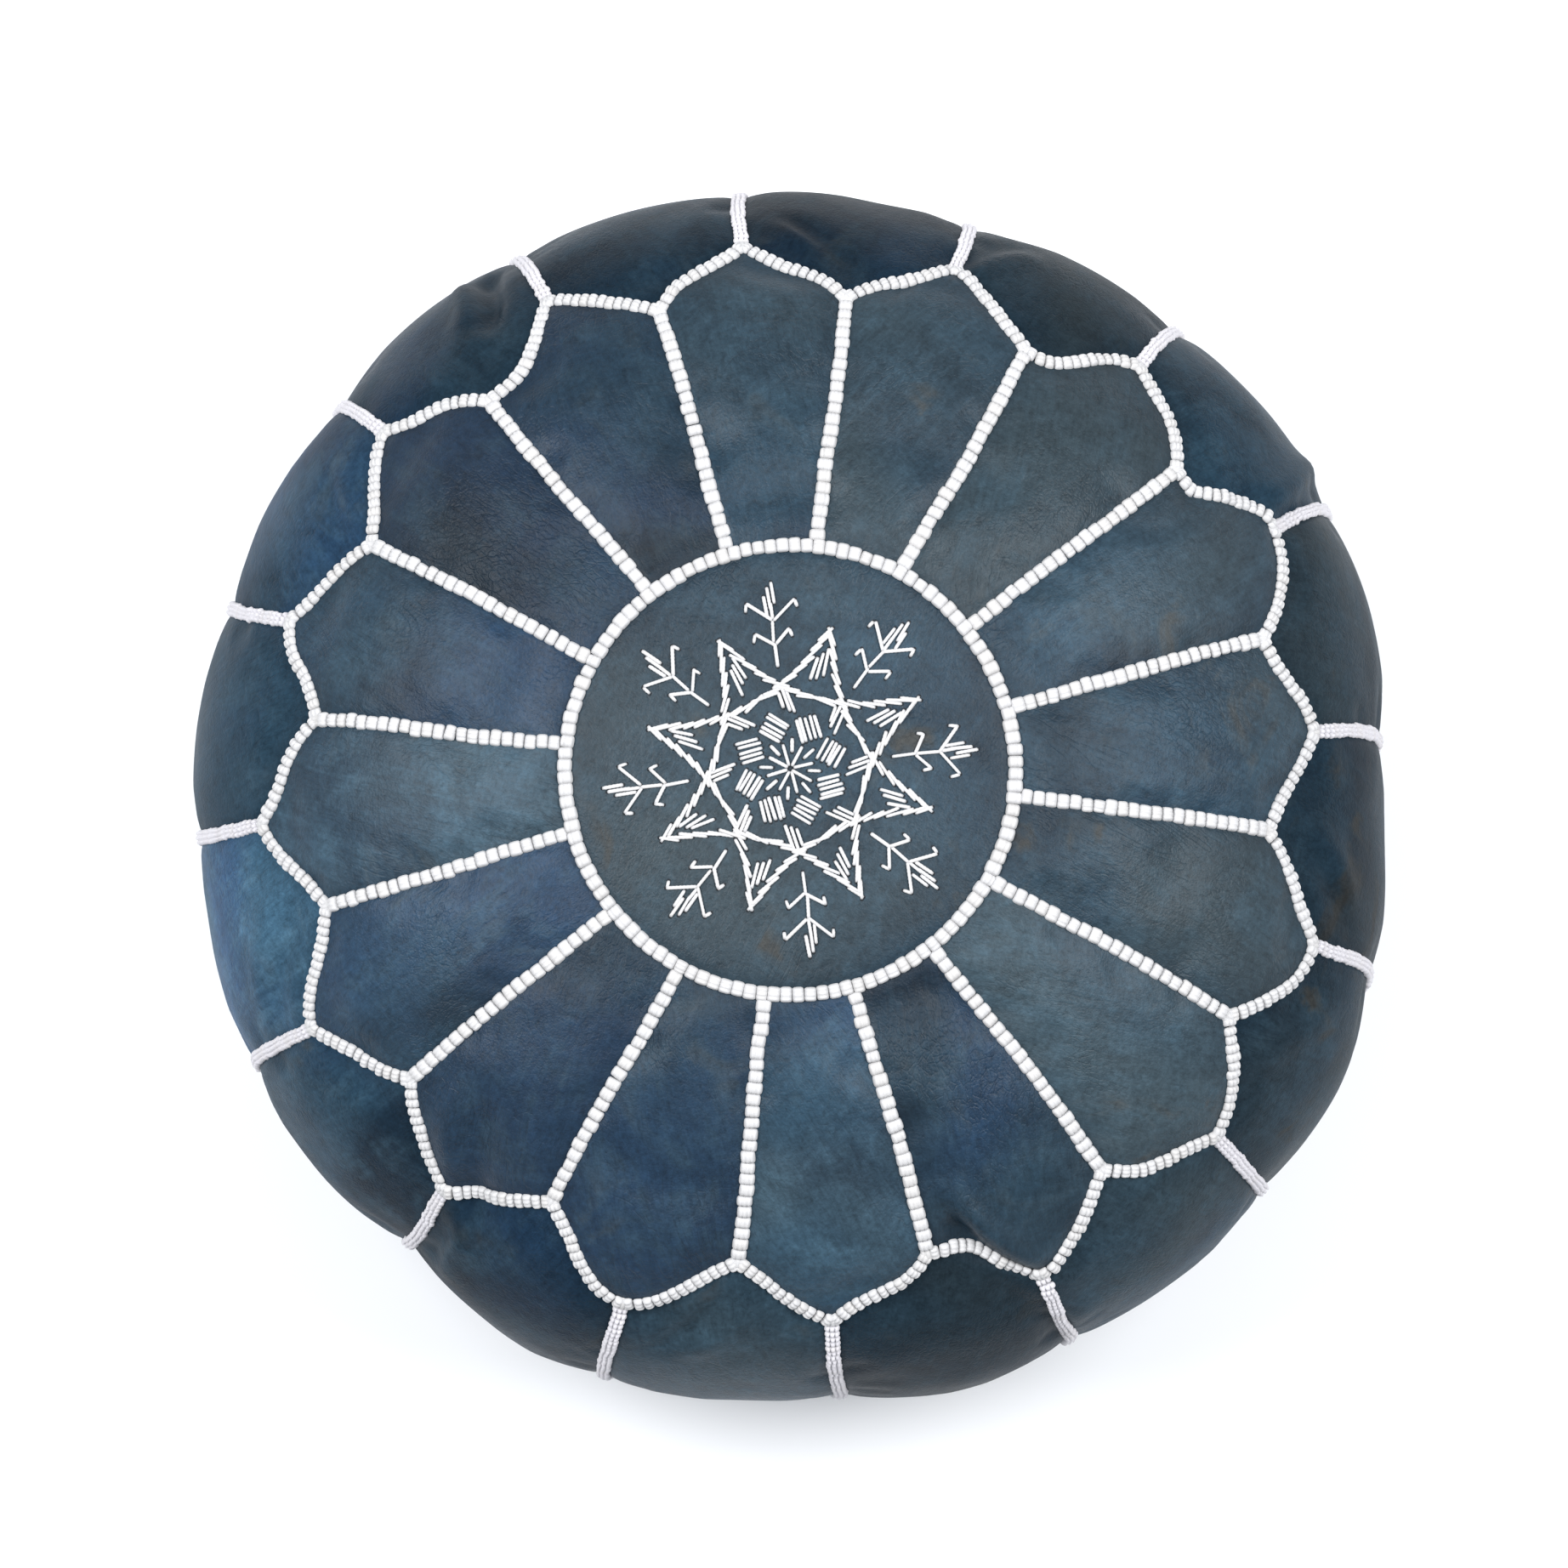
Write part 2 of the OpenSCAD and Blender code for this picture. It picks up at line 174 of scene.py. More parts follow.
class PoufEmbroiderySettings(bpy.types.PropertyGroup):
    thread_w: length("Thread width", "Width of one embroidery thread", 1.45 * MM, 0.0008, 0.002)
    thread_h: length("Thread height", "Height of one embroidery thread", 0.9 * MM, 0.0004, 0.0015)
    unevenness: length("Unevenness", "How far a hand stitch strays", 0.35 * MM, 0, 0.001)
    seed: IntProperty(name="Seed", description="Which unevenness the hand has", default=7, min=0, max=999)


class PoufZipSettings(bpy.types.PropertyGroup):
    brass: colour("Brass", "Teeth, slider and tab", (0.62, 0.45, 0.20))
    tape: colour("Tape", "Woven zip tape", (0.020, 0.026, 0.036))


class PoufStageSettings(bpy.types.PropertyGroup):
    floor: colour("Floor", "Seamless pale floor", (0.90, 0.915, 0.94))
    tilt: FloatProperty(name="Camera elevation", description="Camera's height angle above the horizon",
                        default=math.radians(86.6), min=0, max=math.radians(90), subtype="ANGLE")
    lens: FloatProperty(name="Lens", description="Focal length of the camera", default=150, min=35,
                        max=300, unit="CAMERA")


# ---- Mesh making ----


def new_mesh(name, points, face_sets):
    """A mesh from an array of points and arrays of faces, each of faces with the same corner count"""
    mesh = bpy.data.meshes.new(name)
    loops = np.concatenate([faces.ravel() for faces in face_sets]).astype(np.int32)
    sizes = np.concatenate([np.full(len(faces), faces.shape[1]) for faces in face_sets])
    starts = np.concatenate([[0], np.cumsum(sizes)[:-1]]).astype(np.int32)
    mesh.vertices.add(len(points))
    mesh.vertices.foreach_set("co", np.asarray(points, np.float32).ravel())
    mesh.loops.add(len(loops))
    mesh.loops.foreach_set("vertex_index", loops)
    mesh.polygons.add(len(sizes))
    mesh.polygons.foreach_set("loop_start", starts)
    mesh.polygons.foreach_set("use_smooth", np.ones(len(sizes), bool))
    mesh.update(calc_edges=True)
    mesh.validate()
    return mesh


def add_uv(mesh, name, point_uv):
    """Writes one UV pair per point as a UV map"""
    corner = np.empty(len(mesh.loops), np.int32)
    mesh.loops.foreach_get("vertex_index", corner)
    layer = mesh.uv_layers.new(name=name)
    layer.data.foreach_set("uv", np.asarray(point_uv, np.float32)[corner].ravel())


def add_value(mesh, name, values):
    mesh.attributes.new(name, "FLOAT", "POINT").data.foreach_set("value", np.asarray(values, np.float32))


def new_piece(name, mesh, material, nodes=()):
    """Puts a mesh in the scene as a piece that rides on the root, has a slot and may replace CAD nodes"""
    piece = bpy.data.objects.new(name, mesh)
    bpy.context.scene.collection.objects.link(piece)
    mesh.materials.append(material)
    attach(piece, "root")
    if nodes:
        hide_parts(*nodes)
    return piece


def grid_faces(rows, cols, wrap=False):
    """Quads of a grid of points numbered row by row, optionally closed round its columns"""
    across = np.arange(cols if wrap else cols - 1)
    r, c = np.meshgrid(np.arange(rows - 1), across, indexing="ij")
    right = (c + 1) % cols
    return np.stack([r * cols + c, r * cols + right, (r + 1) * cols + right, (r + 1) * cols + c],
                    axis=-1).reshape(-1, 4)


def grid_rim(rows, cols):
    """Numbers of the points round the edge of a grid, in order"""
    return np.concatenate([np.arange(cols), np.arange(1, rows) * cols + cols - 1,
                           (rows - 1) * cols + np.arange(cols - 2, -1, -1),
                           np.arange(rows - 2, 0, -1) * cols])


def unit_rows(vectors):
    return vectors / np.maximum(np.linalg.norm(vectors, axis=-1, keepdims=True), 1e-12)


def place_copies(template, faces, origins, along, across, up):
    """Copies of a template, whose x, y and z follow the three direction arrays at each origin"""
    points = (origins[:, None]
              + template[None, :, 0:1] * along[:, None]
              + template[None, :, 1:2] * across[:, None]
              + template[None, :, 2:3] * up[:, None])
    shift = np.arange(len(origins))[:, None, None] * len(template)
    copied = [(face_set[None] + shift).reshape(-1, face_set.shape[1]) for face_set in faces]
    return points.reshape(-1, 3), copied


# ---- The stuffed cover: its seams, its swell and its folds ----

COLS_PER_PANEL = 20
COLS = PANELS * COLS_PER_PANEL
MEDALLION_ROWS = 20
PETAL_ROWS = 26
SIDE_ROWS = 62
RING_ROW = MEDALLION_ROWS
BORDER_ROW = RING_ROW + PETAL_ROWS
LAST_ROW = BORDER_ROW + SIDE_ROWS

# Half borders that were sewn with a bend: (petal, 0 before its tip or 1 after it): (bow, sway) in mm
BENT_BORDERS = {(1, 0): (5, 0), (1, 1): (-2, -3.5), (2, 1): (-3, -3), (5, 0): (0, 0), (5, 1): (-9, 0),
                (13, 0): (-6, -1)}

# Where stuffing bulges or sinks the side, as (direction in degrees, mm outwards, half width in degrees),
# and how far the slack hide draws the whole side in, in mm
SIDE_BULGES = ((0, -5.5, 13), (30, 3, 20), (80, -3, 14), (144, -2.5, 12), (163, -5, 14), (190, -4, 12),
               (231, -4, 5), (250, 6, 11), (290, 8, 14), (311, 6, 10), (332, 8, 14))
SIDE_SLACK = 1.3

# Which panels took less dye, and which turned greener, as (direction in degrees, how much, half width)
PALE_PETALS = ((186, 0.39, 18), (207, 0.12, 9), (162, -0.04, 9), (318, 0.20, 14), (342, 0.12, 10),
               (4, 0.20, 11), (27, 0.15, 9), (117, -0.10, 10), (139, -0.05, 9), (72, 0.12, 10),
               (275, 0.33, 10), (297, -0.04, 9))
GREEN_PETALS = ((62, 0.65, 30), (330, 0.65, 28), (117, -0.20, 10), (140, -0.40, 30), (184, 0.15, 10),
                (235, -0.20, 20), (297, -0.2, 10))
PALE_SIDES = ((195, 1.15, 9), (152, 0.40, 10), (173, 0.24, 8), (38, 0.08, 9), (60, -0.22, 10),
              (83, -0.18, 9), (218, 0.35, 9), (240, 0.10, 8), (263, 0.38, 9), (308, 0.28, 9),
              (330, 0.14, 9))
GREEN_SIDES = ((20, 0.3, 40), (330, 0.35, 30), (150, -0.3, 40))

# Pressed-in folds: the path as (direction in degrees, mm along the outline from the medallion's centre),
# depth, width and the height of the roll beside it in mm, and the side the roll is on
FOLDS = (
    (((123.6, 252), (122.2, 268), (121.2, 292), (120.9, 318)), 5.5, 5.5, 3.0, 1),
    (((234.5, 252), (231.5, 226), (228.5, 205), (226.5, 188)), 3.2, 6.5, 2.0, 1),
    (((232.4, 262), (232.6, 284), (232.9, 312)), 3.5, 4.0, 2.0, 1),
    (((296.6, 250), (293.6, 234), (290.8, 216), (289.8, 196)), 4.2, 5.0, 2.6, -1),
    (((292.4, 226), (290.2, 210), (288.6, 194)), 2.4, 4.0, 1.2, -1),
    (((293.0, 246), (294.8, 266), (296.0, 292), (295.6, 320)), 4.5, 6.0, 2.5, 1),
    (((27.8, 256), (28.6, 276), (29.6, 304), (30.4, 336)), 4.0, 5.0, 3.2, 1),
    (((36.0, 224), (33.6, 210), (31.8, 192)), 2.0, 5.0, 1.2, 1),
    (((72.6, 250), (70.0, 270), (66.6, 292)), 2.6, 5.5, 1.6, -1),
    (((84.0, 232), (86.4, 250), (90.2, 270)), 2.4, 5.0, 1.4, 1),
    (((151.2, 230), (148.6, 246), (146.8, 262)), 2.2, 4.5, 1.2, -1),
    (((164.4, 250), (166.8, 238), (168.6, 222)), 2.2, 5.0, 1.2, 1),
    (((195.6, 234), (200.2, 252), (206.2, 270)), 2.4, 6.5, 1.4, -1),
    (((263.0, 236), (260.6, 252), (257.4, 270)), 2.6, 6.0, 1.6, 1),
    (((330.2, 234), (334.6, 250), (338.8, 272)), 2.2, 6.0, 1.4, -1),
    (((352.6, 232), (350.2, 250), (346.0, 268)), 2.4, 5.5, 1.4, 1),
    (((6.8, 350), (14.0, 385), (20.0, 412)), 1.8, 8.0, 1.2, 1),
    (((96.6, 345), (102.0, 380), (112.0, 410)), 2.0, 9.0, 1.2, -1),
    (((182.0, 352), (176.0, 384), (168.0, 414)), 1.8, 8.0, 1.2, 1),
    (((316.0, 352), (310.0, 385), (306.0, 415)), 1.8, 8.0, 1.2, 1),
)


def outline_curve():
    """The outline from the middle of the top to the base seam, as distance along it, radius and height"""
    turn = np.linspace(math.pi / 2, 0, 600)
    upper_r = BODY_R * np.cos(turn) ** (2 / TOP_FULLNESS)
    upper_z = BELLY_Z + (BODY_H - BELLY_Z) * np.sin(turn) ** (2 / TOP_FULLNESS)
    turn = np.linspace(0, math.pi / 2, 600)[1:]
    lower_r = FOOT_R + (BODY_R - FOOT_R) * np.cos(turn) ** (2 / LOW_FULLNESS)
    lower_z = BELLY_Z * (1 - np.sin(turn) ** (2 / LOW_FULLNESS))
    rise_r = np.linspace(FOOT_INNER_R, BASE_SEAM_R, 40)
    rise_z = recess_height(rise_r)
    r = np.concatenate([upper_r, lower_r, rise_r])
    z = np.concatenate([upper_z, lower_z, rise_z])
    s = np.concatenate([[0], np.cumsum(np.hypot(np.diff(r), np.diff(z)))])
    return s, r, z


def recess_height(r):
    """Height of the underside where it rises from the foot to the raised middle"""
    rise = np.clip((FOOT_INNER_R - r) / (FOOT_INNER_R - RECESS_R), 0, 1)
    return RECESS_Z * (1 - np.cos(np.pi * rise)) / 2


OUTLINE_S, OUTLINE_R, OUTLINE_Z = outline_curve()
BELLY_INDEX = int(np.argmax(OUTLINE_R))


def along_top(radius):
    """Distance along the outline at a radius on the top half"""
    return np.interp(radius, OUTLINE_R[:BELLY_INDEX + 1], OUTLINE_S[:BELLY_INDEX + 1])


def soft_noise(x, y, z, size):
    return noise.noise(Vector((x, y, z)) / size)


def bump_at(angle, centre, half_width):
    """A smooth bump of height 1 at an angle, which fades within about a half width, all in degrees"""
    away = (angle - centre + 180) % 360 - 180
    return np.exp(-(away / half_width) ** 2)


def border_radii():
    """Radius of the petals' border at each column, with every half border sewn a little differently"""
    hand = random.Random(11)
    radius = np.empty(COLS)
    half = COLS_PER_PANEL // 2
    tips = [PEAK_R + hand.uniform(-1.5, 2.0) * MM for _ in range(PANELS)]
    valleys = [VALLEY_R + hand.uniform(-1.5, 1.5) * MM for _ in range(PANELS + 1)]
    valleys[-1] = valleys[0]
    for petal in range(PANELS):
        for after in (0, 1):
            bow, sway = hand.uniform(-0.8, 2.8), hand.uniform(-1.6, 1.6)
            bow, sway = BENT_BORDERS.get((petal + 1, after), (bow, sway))
            for k in range(half + 1):
                t = 1 - k / half if after else k / half
                valley = valleys[petal + after]
                column = (petal * COLS_PER_PANEL + after * half + k) % COLS
                radius[column] = (valley + (tips[petal] - valley) * t
                                  + (bow * math.sin(math.pi * t) + sway * math.sin(2 * math.pi * t)) * MM)
    return radius


def cover_grid():
    """Distance along the outline and direction of every point of the cover, row by row"""
    ring = along_top(MEDALLION_R)
    border = along_top(border_radii())[None]
    medallion = np.linspace(0, 1, MEDALLION_ROWS + 1)[:-1, None] * ring * np.ones(COLS)
    petals = ring + np.linspace(0, 1, PETAL_ROWS + 1)[:-1, None] * (border - ring)
    sides = border + np.linspace(0, 1, SIDE_ROWS + 1)[:, None] * (OUTLINE_S[-1] - border)
    s = np.concatenate([medallion, petals, sides])
    angle = PHASE + STEP * np.arange(COLS)[None] / COLS_PER_PANEL * np.ones((len(s), 1))
    wander = np.zeros_like(angle)
    for row in range(RING_ROW, LAST_ROW):
        for col in range(COLS):
            a = angle[row, col]
            wander[row, col] = soft_noise(math.cos(a) * 3, math.sin(a) * 3, s[row, col] * 9, 1.0)
    fade = np.clip((s - ring) / FADE, 0, 1) * np.clip((OUTLINE_S[-1] - s) / FADE, 0, 1)
    most_wander = math.radians(1.1)
    return s, angle + wander * fade * most_wander


def stuffed_form(s, angle):
    """Places the cover's points on the stuffed body, which isn't perfectly round"""
    r = np.interp(s, OUTLINE_S, OUTLINE_R)
    z = np.interp(s, OUTLINE_S, OUTLINE_Z)
    degrees = np.degrees(angle) % 360
    bulge = sum(out * bump_at(degrees, centre, width) for centre, out, width in SIDE_BULGES) - SIDE_SLACK
    rim = np.clip((s - along_top(VALLEY_R * 0.85)) / FADE, 0, 1)
    foot = np.clip((z - 5 * MM) / (90 * MM), 0, 1)
    r = r + bulge * MM * rim * rim * (3 - 2 * rim) * foot
    points = np.stack([r * np.cos(angle), r * np.sin(angle), z], axis=-1)
    lumps = np.zeros_like(s)
    for row in range(s.shape[0]):
        for col in range(s.shape[1]):
            x, y, h = points[row, col]
            broad, small = soft_noise(x, y, h, 0.085), soft_noise(x, y, h + 3, 0.04)
            lumps[row, col] = (broad * 1.9 + small * 1.3) * MM
    flat_middle = np.clip(s / along_top(MEDALLION_R * 0.8), 0, 1)
    return points + grid_normals(points) * (lumps * foot * (0.25 + 0.75 * flat_middle))[..., None]


def grid_normals(points):
    """Outward normals of a grid that runs round the body by columns and from top to foot by rows"""
    down = np.gradient(points, axis=0)
    round_body = np.roll(points, -1, axis=1) - np.roll(points, 1, axis=1)
    normals = unit_rows(np.cross(down, round_body))
    if np.abs(points[0] - points[0, 0]).max() < 1e-6:
        normals[0] = (0, 0, 1)
    return normals


def sewn_points():
    """Which points of the cover lie on a seam and are held by its stitches"""
    held = np.zeros((LAST_ROW + 1, COLS), bool)
    held[[RING_ROW, BORDER_ROW, LAST_ROW]] = True
    held[RING_ROW:BORDER_ROW, ::COLS_PER_PANEL] = True
    held[BORDER_ROW:, COLS_PER_PANEL // 2::COLS_PER_PANEL] = True
    return held


def swell_by_cloth(points, held, settings):
    """Cloth simulation: stuffing pressure swells the slack leather between the seams, which stay put"""
    rows = points.shape[0]
    mesh = new_mesh("swelling_cover", points.reshape(-1, 3), [grid_faces(rows, COLS, wrap=True)[:, ::-1]])
    cover = bpy.data.objects.new("swelling_cover", mesh)
    bpy.context.scene.collection.objects.link(cover)
    sewn = cover.vertex_groups.new(name="sewn")
    sewn.add([int(i) for i in np.flatnonzero(held.ravel())], 1.0, "REPLACE")
    modifier = cover.modifiers.new("stuffing", "CLOTH")
    cloth = modifier.settings
    cloth.quality = 5
    cloth.mass = 0.4
    cloth.tension_stiffness = 35
    cloth.compression_stiffness = 35
    cloth.shear_stiffness = 15
    cloth.bending_stiffness = 6
    cloth.tension_damping = cloth.compression_damping = cloth.shear_damping = 15
    cloth.vertex_group_mass = "sewn"
    cloth.shrink_min = -settings.swell
    cloth.use_pressure = True
    cloth.uniform_pressure_force = 4
    cloth.effector_weights.gravity = 0
    modifier.collision_settings.use_collision = False
    modifier.point_cache.frame_start = 1
    modifier.point_cache.frame_end = 20
    for step in range(1, 21):
        bpy.context.scene.frame_set(step)
    settled = cover.evaluated_get(bpy.context.evaluated_depsgraph_get()).to_mesh()
    moved = np.empty(len(settled.vertices) * 3, np.float32)
    settled.vertices.foreach_get("co", moved)
    bpy.context.scene.frame_set(1)
    bpy.data.objects.remove(cover)
    bpy.data.meshes.remove(mesh)
    return moved.reshape(points.shape).astype(float)


def fold_offsets(points):
    """How far the pressed-in folds move each point along its normal"""
    offset = np.zeros(points.shape[:2])
    flat = points.reshape(-1, 3)
    normals = grid_normals(points).reshape(-1, 3)
    for path, depth, width, roll, side in FOLDS:
        corners = []
        for degrees, along in path:
            a = math.radians(degrees)
            r, z = (np.interp(along * MM, OUTLINE_S, outline) for outline in (OUTLINE_R, OUTLINE_Z))
            corners.append((r * math.cos(a), r * math.sin(a), z))
        corners = np.array(corners)
        best = np.full(len(flat), 1e9)
        which_side = np.zeros(len(flat))
        place = np.zeros(len(flat))
        lengths = np.linalg.norm(np.diff(corners, axis=0), axis=1)
        before = 0.0
        for start, end, span in zip(corners[:-1], corners[1:], lengths):
            ray = (end - start) / span
            t = np.clip((flat - start) @ ray, 0, span)
            gap = flat - (start + t[:, None] * ray)
            away = np.linalg.norm(gap, axis=1)
            nearer = away < best
            best[nearer] = away[nearer]
            crossing = np.einsum("ij,ij->i", np.cross(np.broadcast_to(ray, gap.shape), gap), normals)
            which_side[nearer] = np.sign(crossing[nearer])
            place[nearer] = ((before + t) / lengths.sum())[nearer]
            before += span
        taper = np.clip(np.sin(np.pi * np.clip(0.12 + 0.86 * place, 0, 1)) * 1.6, 0, 1)
        signed = best * which_side * side
        groove = -depth * np.exp(-(signed / (width * MM)) ** 2)
        hill = roll * np.exp(-((signed - 1.7 * width * MM) / (1.3 * width * MM)) ** 2)
        offset += ((groove + hill) * taper * MM).reshape(offset.shape)
    return offset


def seam_puckers(points):
    """Small gathers that the stitches pull into the leather beside a seam"""
    rows, cols = np.indices(points.shape[:2])
    from_border = np.abs(rows - BORDER_ROW)
    pull = np.exp(-from_border / 2.2) * (from_border > 0)
    across = (cols + COLS_PER_PANEL // 2) % COLS_PER_PANEL
    from_side = np.minimum(across, COLS_PER_PANEL - across)
    side_pull = np.exp(-from_side / 1.6) * (from_side > 0) * (rows > BORDER_ROW)
    along_seam = cols % COLS_PER_PANEL
    from_radial = np.minimum(along_seam, COLS_PER_PANEL - along_seam)
    radial_pull = np.exp(-from_radial / 1.6) * (from_radial > 0) * (rows > RING_ROW) * (rows < BORDER_ROW)
    gathers = np.zeros(points.shape[:2])
    for row in range(RING_ROW, LAST_ROW + 1):
        for col in range(COLS):
            if pull[row, col] + side_pull[row, col] + radial_pull[row, col] > 0.05:
                x, y, z = points[row, col]
                fine = soft_noise(x, y, z, 0.009)
                broad = soft_noise(x + 5, y, z, 0.018)
                gathers[row, col] = (1.1 * pull[row, col] + 0.9 * side_pull[row, col]
                                     + 0.7 * radial_pull[row, col]) * (fine + broad)
    return gathers * MM


class Cover:
    """The stuffed cover's outer surface, which every panel is cut from and every stitch lies on"""

    built = None

    def __init__(self):
        settings = bpy.context.scene.pouf_hide
        self.s, self.angle = cover_grid()
        base = stuffed_form(self.s, self.angle)
        held = sewn_points()
        sewn = base - grid_normals(base) * (held * SEAM_SINK)[..., None]
        sewn[LAST_ROW] = base[LAST_ROW]
        swollen = sewn.copy()
        swollen[RING_ROW:] = swell_by_cloth(sewn[RING_ROW:], held[RING_ROW:], settings)
        drum = np.cos(np.clip(self.s[:RING_ROW] / along_top(MEDALLION_R), 0, 1) * math.pi / 2)
        crown = grid_normals(sewn)[:RING_ROW] * (drum ** 0.5 * MEDALLION_CROWN)[..., None]
        swollen[:RING_ROW] = sewn[:RING_ROW] + crown
        shift = swollen - sewn
        far = np.linalg.norm(shift, axis=-1, keepdims=True)
        capped = settings.most_swell * np.tanh(far / settings.most_swell)
        self.points = sewn + shift * capped / np.maximum(far, 1e-9)
        offset = fold_offsets(self.points) * settings.fold_depth + seam_puckers(self.points)
        self.points += grid_normals(self.points) * offset[..., None]
        self.points[..., 2] = np.maximum(self.points[..., 2], 0)
        self.points[0] = self.points[0].mean(0)
        self.normals = grid_normals(self.points)

    @classmethod
    def get(cls):
        if cls.built is None:
            cls.built = cls()
        return cls.built

    def sample(self, row, col):
        """Positions and normals at fractional rows and columns"""
        row = np.clip(np.asarray(row, float), 0, LAST_ROW - 1e-6)
        col = np.asarray(col, float) % COLS
        r0, c0 = row.astype(int), col.astype(int) % COLS
        fr, fc = (row - r0)[..., None], (col - np.floor(col))[..., None]
        c1 = (c0 + 1) % COLS
        blended = []
        for field in (self.points, self.normals):
            near = field[r0, c0] * (1 - fc) + field[r0, c1] * fc
            far = field[r0 + 1, c0] * (1 - fc) + field[r0 + 1, c1] * fc
            blended.append(near * (1 - fr) + far * fr)
        return blended[0], unit_rows(blended[1])

    def on_medallion(self, flat):
        """Positions and normals under points given from above, within the medallion"""
        flat = np.asarray(flat, float)
        radius = np.hypot(flat[..., 0], flat[..., 1])
        turn = np.arctan2(flat[..., 1], flat[..., 0])
        row = along_top(radius) / along_top(MEDALLION_R) * RING_ROW
        col = (turn - PHASE) / STEP * COLS_PER_PANEL
        position, normal = self.sample(row, col)
        position = np.concatenate([flat, position[..., 2:3]], axis=-1)
        return position, normal

    def seam_line(self, rows, cols, beside):
        """Points and normals down a seam, given whole rows and columns, raised where the leather beside
        it, a step of rows and columns away, stands high"""
        line, normals = self.points[rows, cols], self.normals[rows, cols]
        high = np.zeros(len(line))
        for sign in (-1, 1):
            next_row = np.clip(rows + sign * beside[0], 0, LAST_ROW)
            next_col = (cols + sign * beside[1]) % COLS
            high += np.einsum("ij,ij->i", self.points[next_row, next_col] - line, normals) / 2
        return line + normals * np.clip(high * 0.5, 0, 2.2 * MM)[:, None], normals


def dyed(hand, pale, green, degrees, start):
    """How pale and how green a panel came out of the dye"""
    paleness = start + sum(more * bump_at(degrees, centre, width) for centre, more, width in pale)
    greenness = 0.3 + sum(more * bump_at(degrees, centre, width) for centre, more, width in green)
    return (float(np.clip(paleness + hand.uniform(-0.06, 0.06), 0, 1.4)),
            float(np.clip(greenness + hand.uniform(-0.06, 0.06), 0, 1)))


def hide_panel(name, rows, cols, wrap, node, material, grain_turn, dye):
    """Cuts one panel out of the cover, with its own dye (paleness, greenness) and grain direction. Its
    edges keep shy of the seams by a small share of a grid step"""
    cover = Cover.get()
    r, c = np.meshgrid(rows, cols, indexing="ij")
    points = cover.points[r, c % COLS].copy()
    shy = 0.03
    if not wrap:
        points[:, 0] += (points[:, 1] - points[:, 0]) * shy
        points[:, -1] += (points[:, -2] - points[:, -1]) * shy
    if rows[0] > 0:
        points[0] += (points[1] - points[0]) * shy
    points[-1] += (points[-2] - points[-1]) * shy
    s = cover.s[r, c % COLS]
    middle = (cols[0] + cols[-1]) / 2
    radius = np.interp(s, OUTLINE_S, OUTLINE_R)
    if rows[0] == 0:
        turn = cover.angle[r, c % COLS]
        x, y = radius * np.cos(turn), radius * np.sin(turn)
    else:
        x, y = (c - middle) / COLS_PER_PANEL * STEP * radius, s
    uv = np.stack([x * math.cos(grain_turn) - y * math.sin(grain_turn),
                   x * math.sin(grain_turn) + y * math.cos(grain_turn)], axis=-1)
    no_edge = np.full(r.shape, 99)
    row_edge = np.minimum(r - rows[0] if rows[0] > 0 else no_edge, rows[-1] - r)
    col_edge = no_edge if wrap else np.minimum(c - cols[0], cols[-1] - c)
    near_seam = np.exp(-np.minimum(row_edge, col_edge) / 1.8)
    count = len(cols)
    if rows[0] == 0:
        faces = grid_faces(len(rows) - 1, count, wrap=True) + 1
        rim = np.arange(count)
        spokes = np.stack([np.zeros(count, int), (rim + 1) % count + 1, rim + 1], axis=1)
        flatten = lambda field: np.concatenate([field[0, :1], field[1:].reshape((-1,) + field.shape[2:])])
        mesh = new_mesh(name, flatten(points), [faces[:, ::-1], spokes[:, ::-1]])
        uv, near_seam = flatten(uv), flatten(near_seam)
    else:
        mesh = new_mesh(name, points.reshape(-1, 3), [grid_faces(len(rows), count)[:, ::-1]])
        uv, near_seam = uv.reshape(-1, 2), near_seam.ravel()
    add_uv(mesh, "hide", uv)
    add_value(mesh, "paleness", np.full(len(mesh.vertices), dye[0]))
    add_value(mesh, "greenness", np.full(len(mesh.vertices), dye[1]))
    add_value(mesh, "near_seam", near_seam)
    finish_hide(new_piece(name, mesh, material, (node,)))


def finish_hide(piece):
    """Smooths a panel and gives it the thickness of backed leather"""
    smooth = piece.modifiers.new("smooth", "SUBSURF")
    smooth.levels = smooth.render_levels = 1
    smooth.quality = 1
    thick = piece.modifiers.new("thickness", "SOLIDIFY")
    thick.thickness = bpy.context.scene.pouf_hide.thickness
    thick.offset = -1


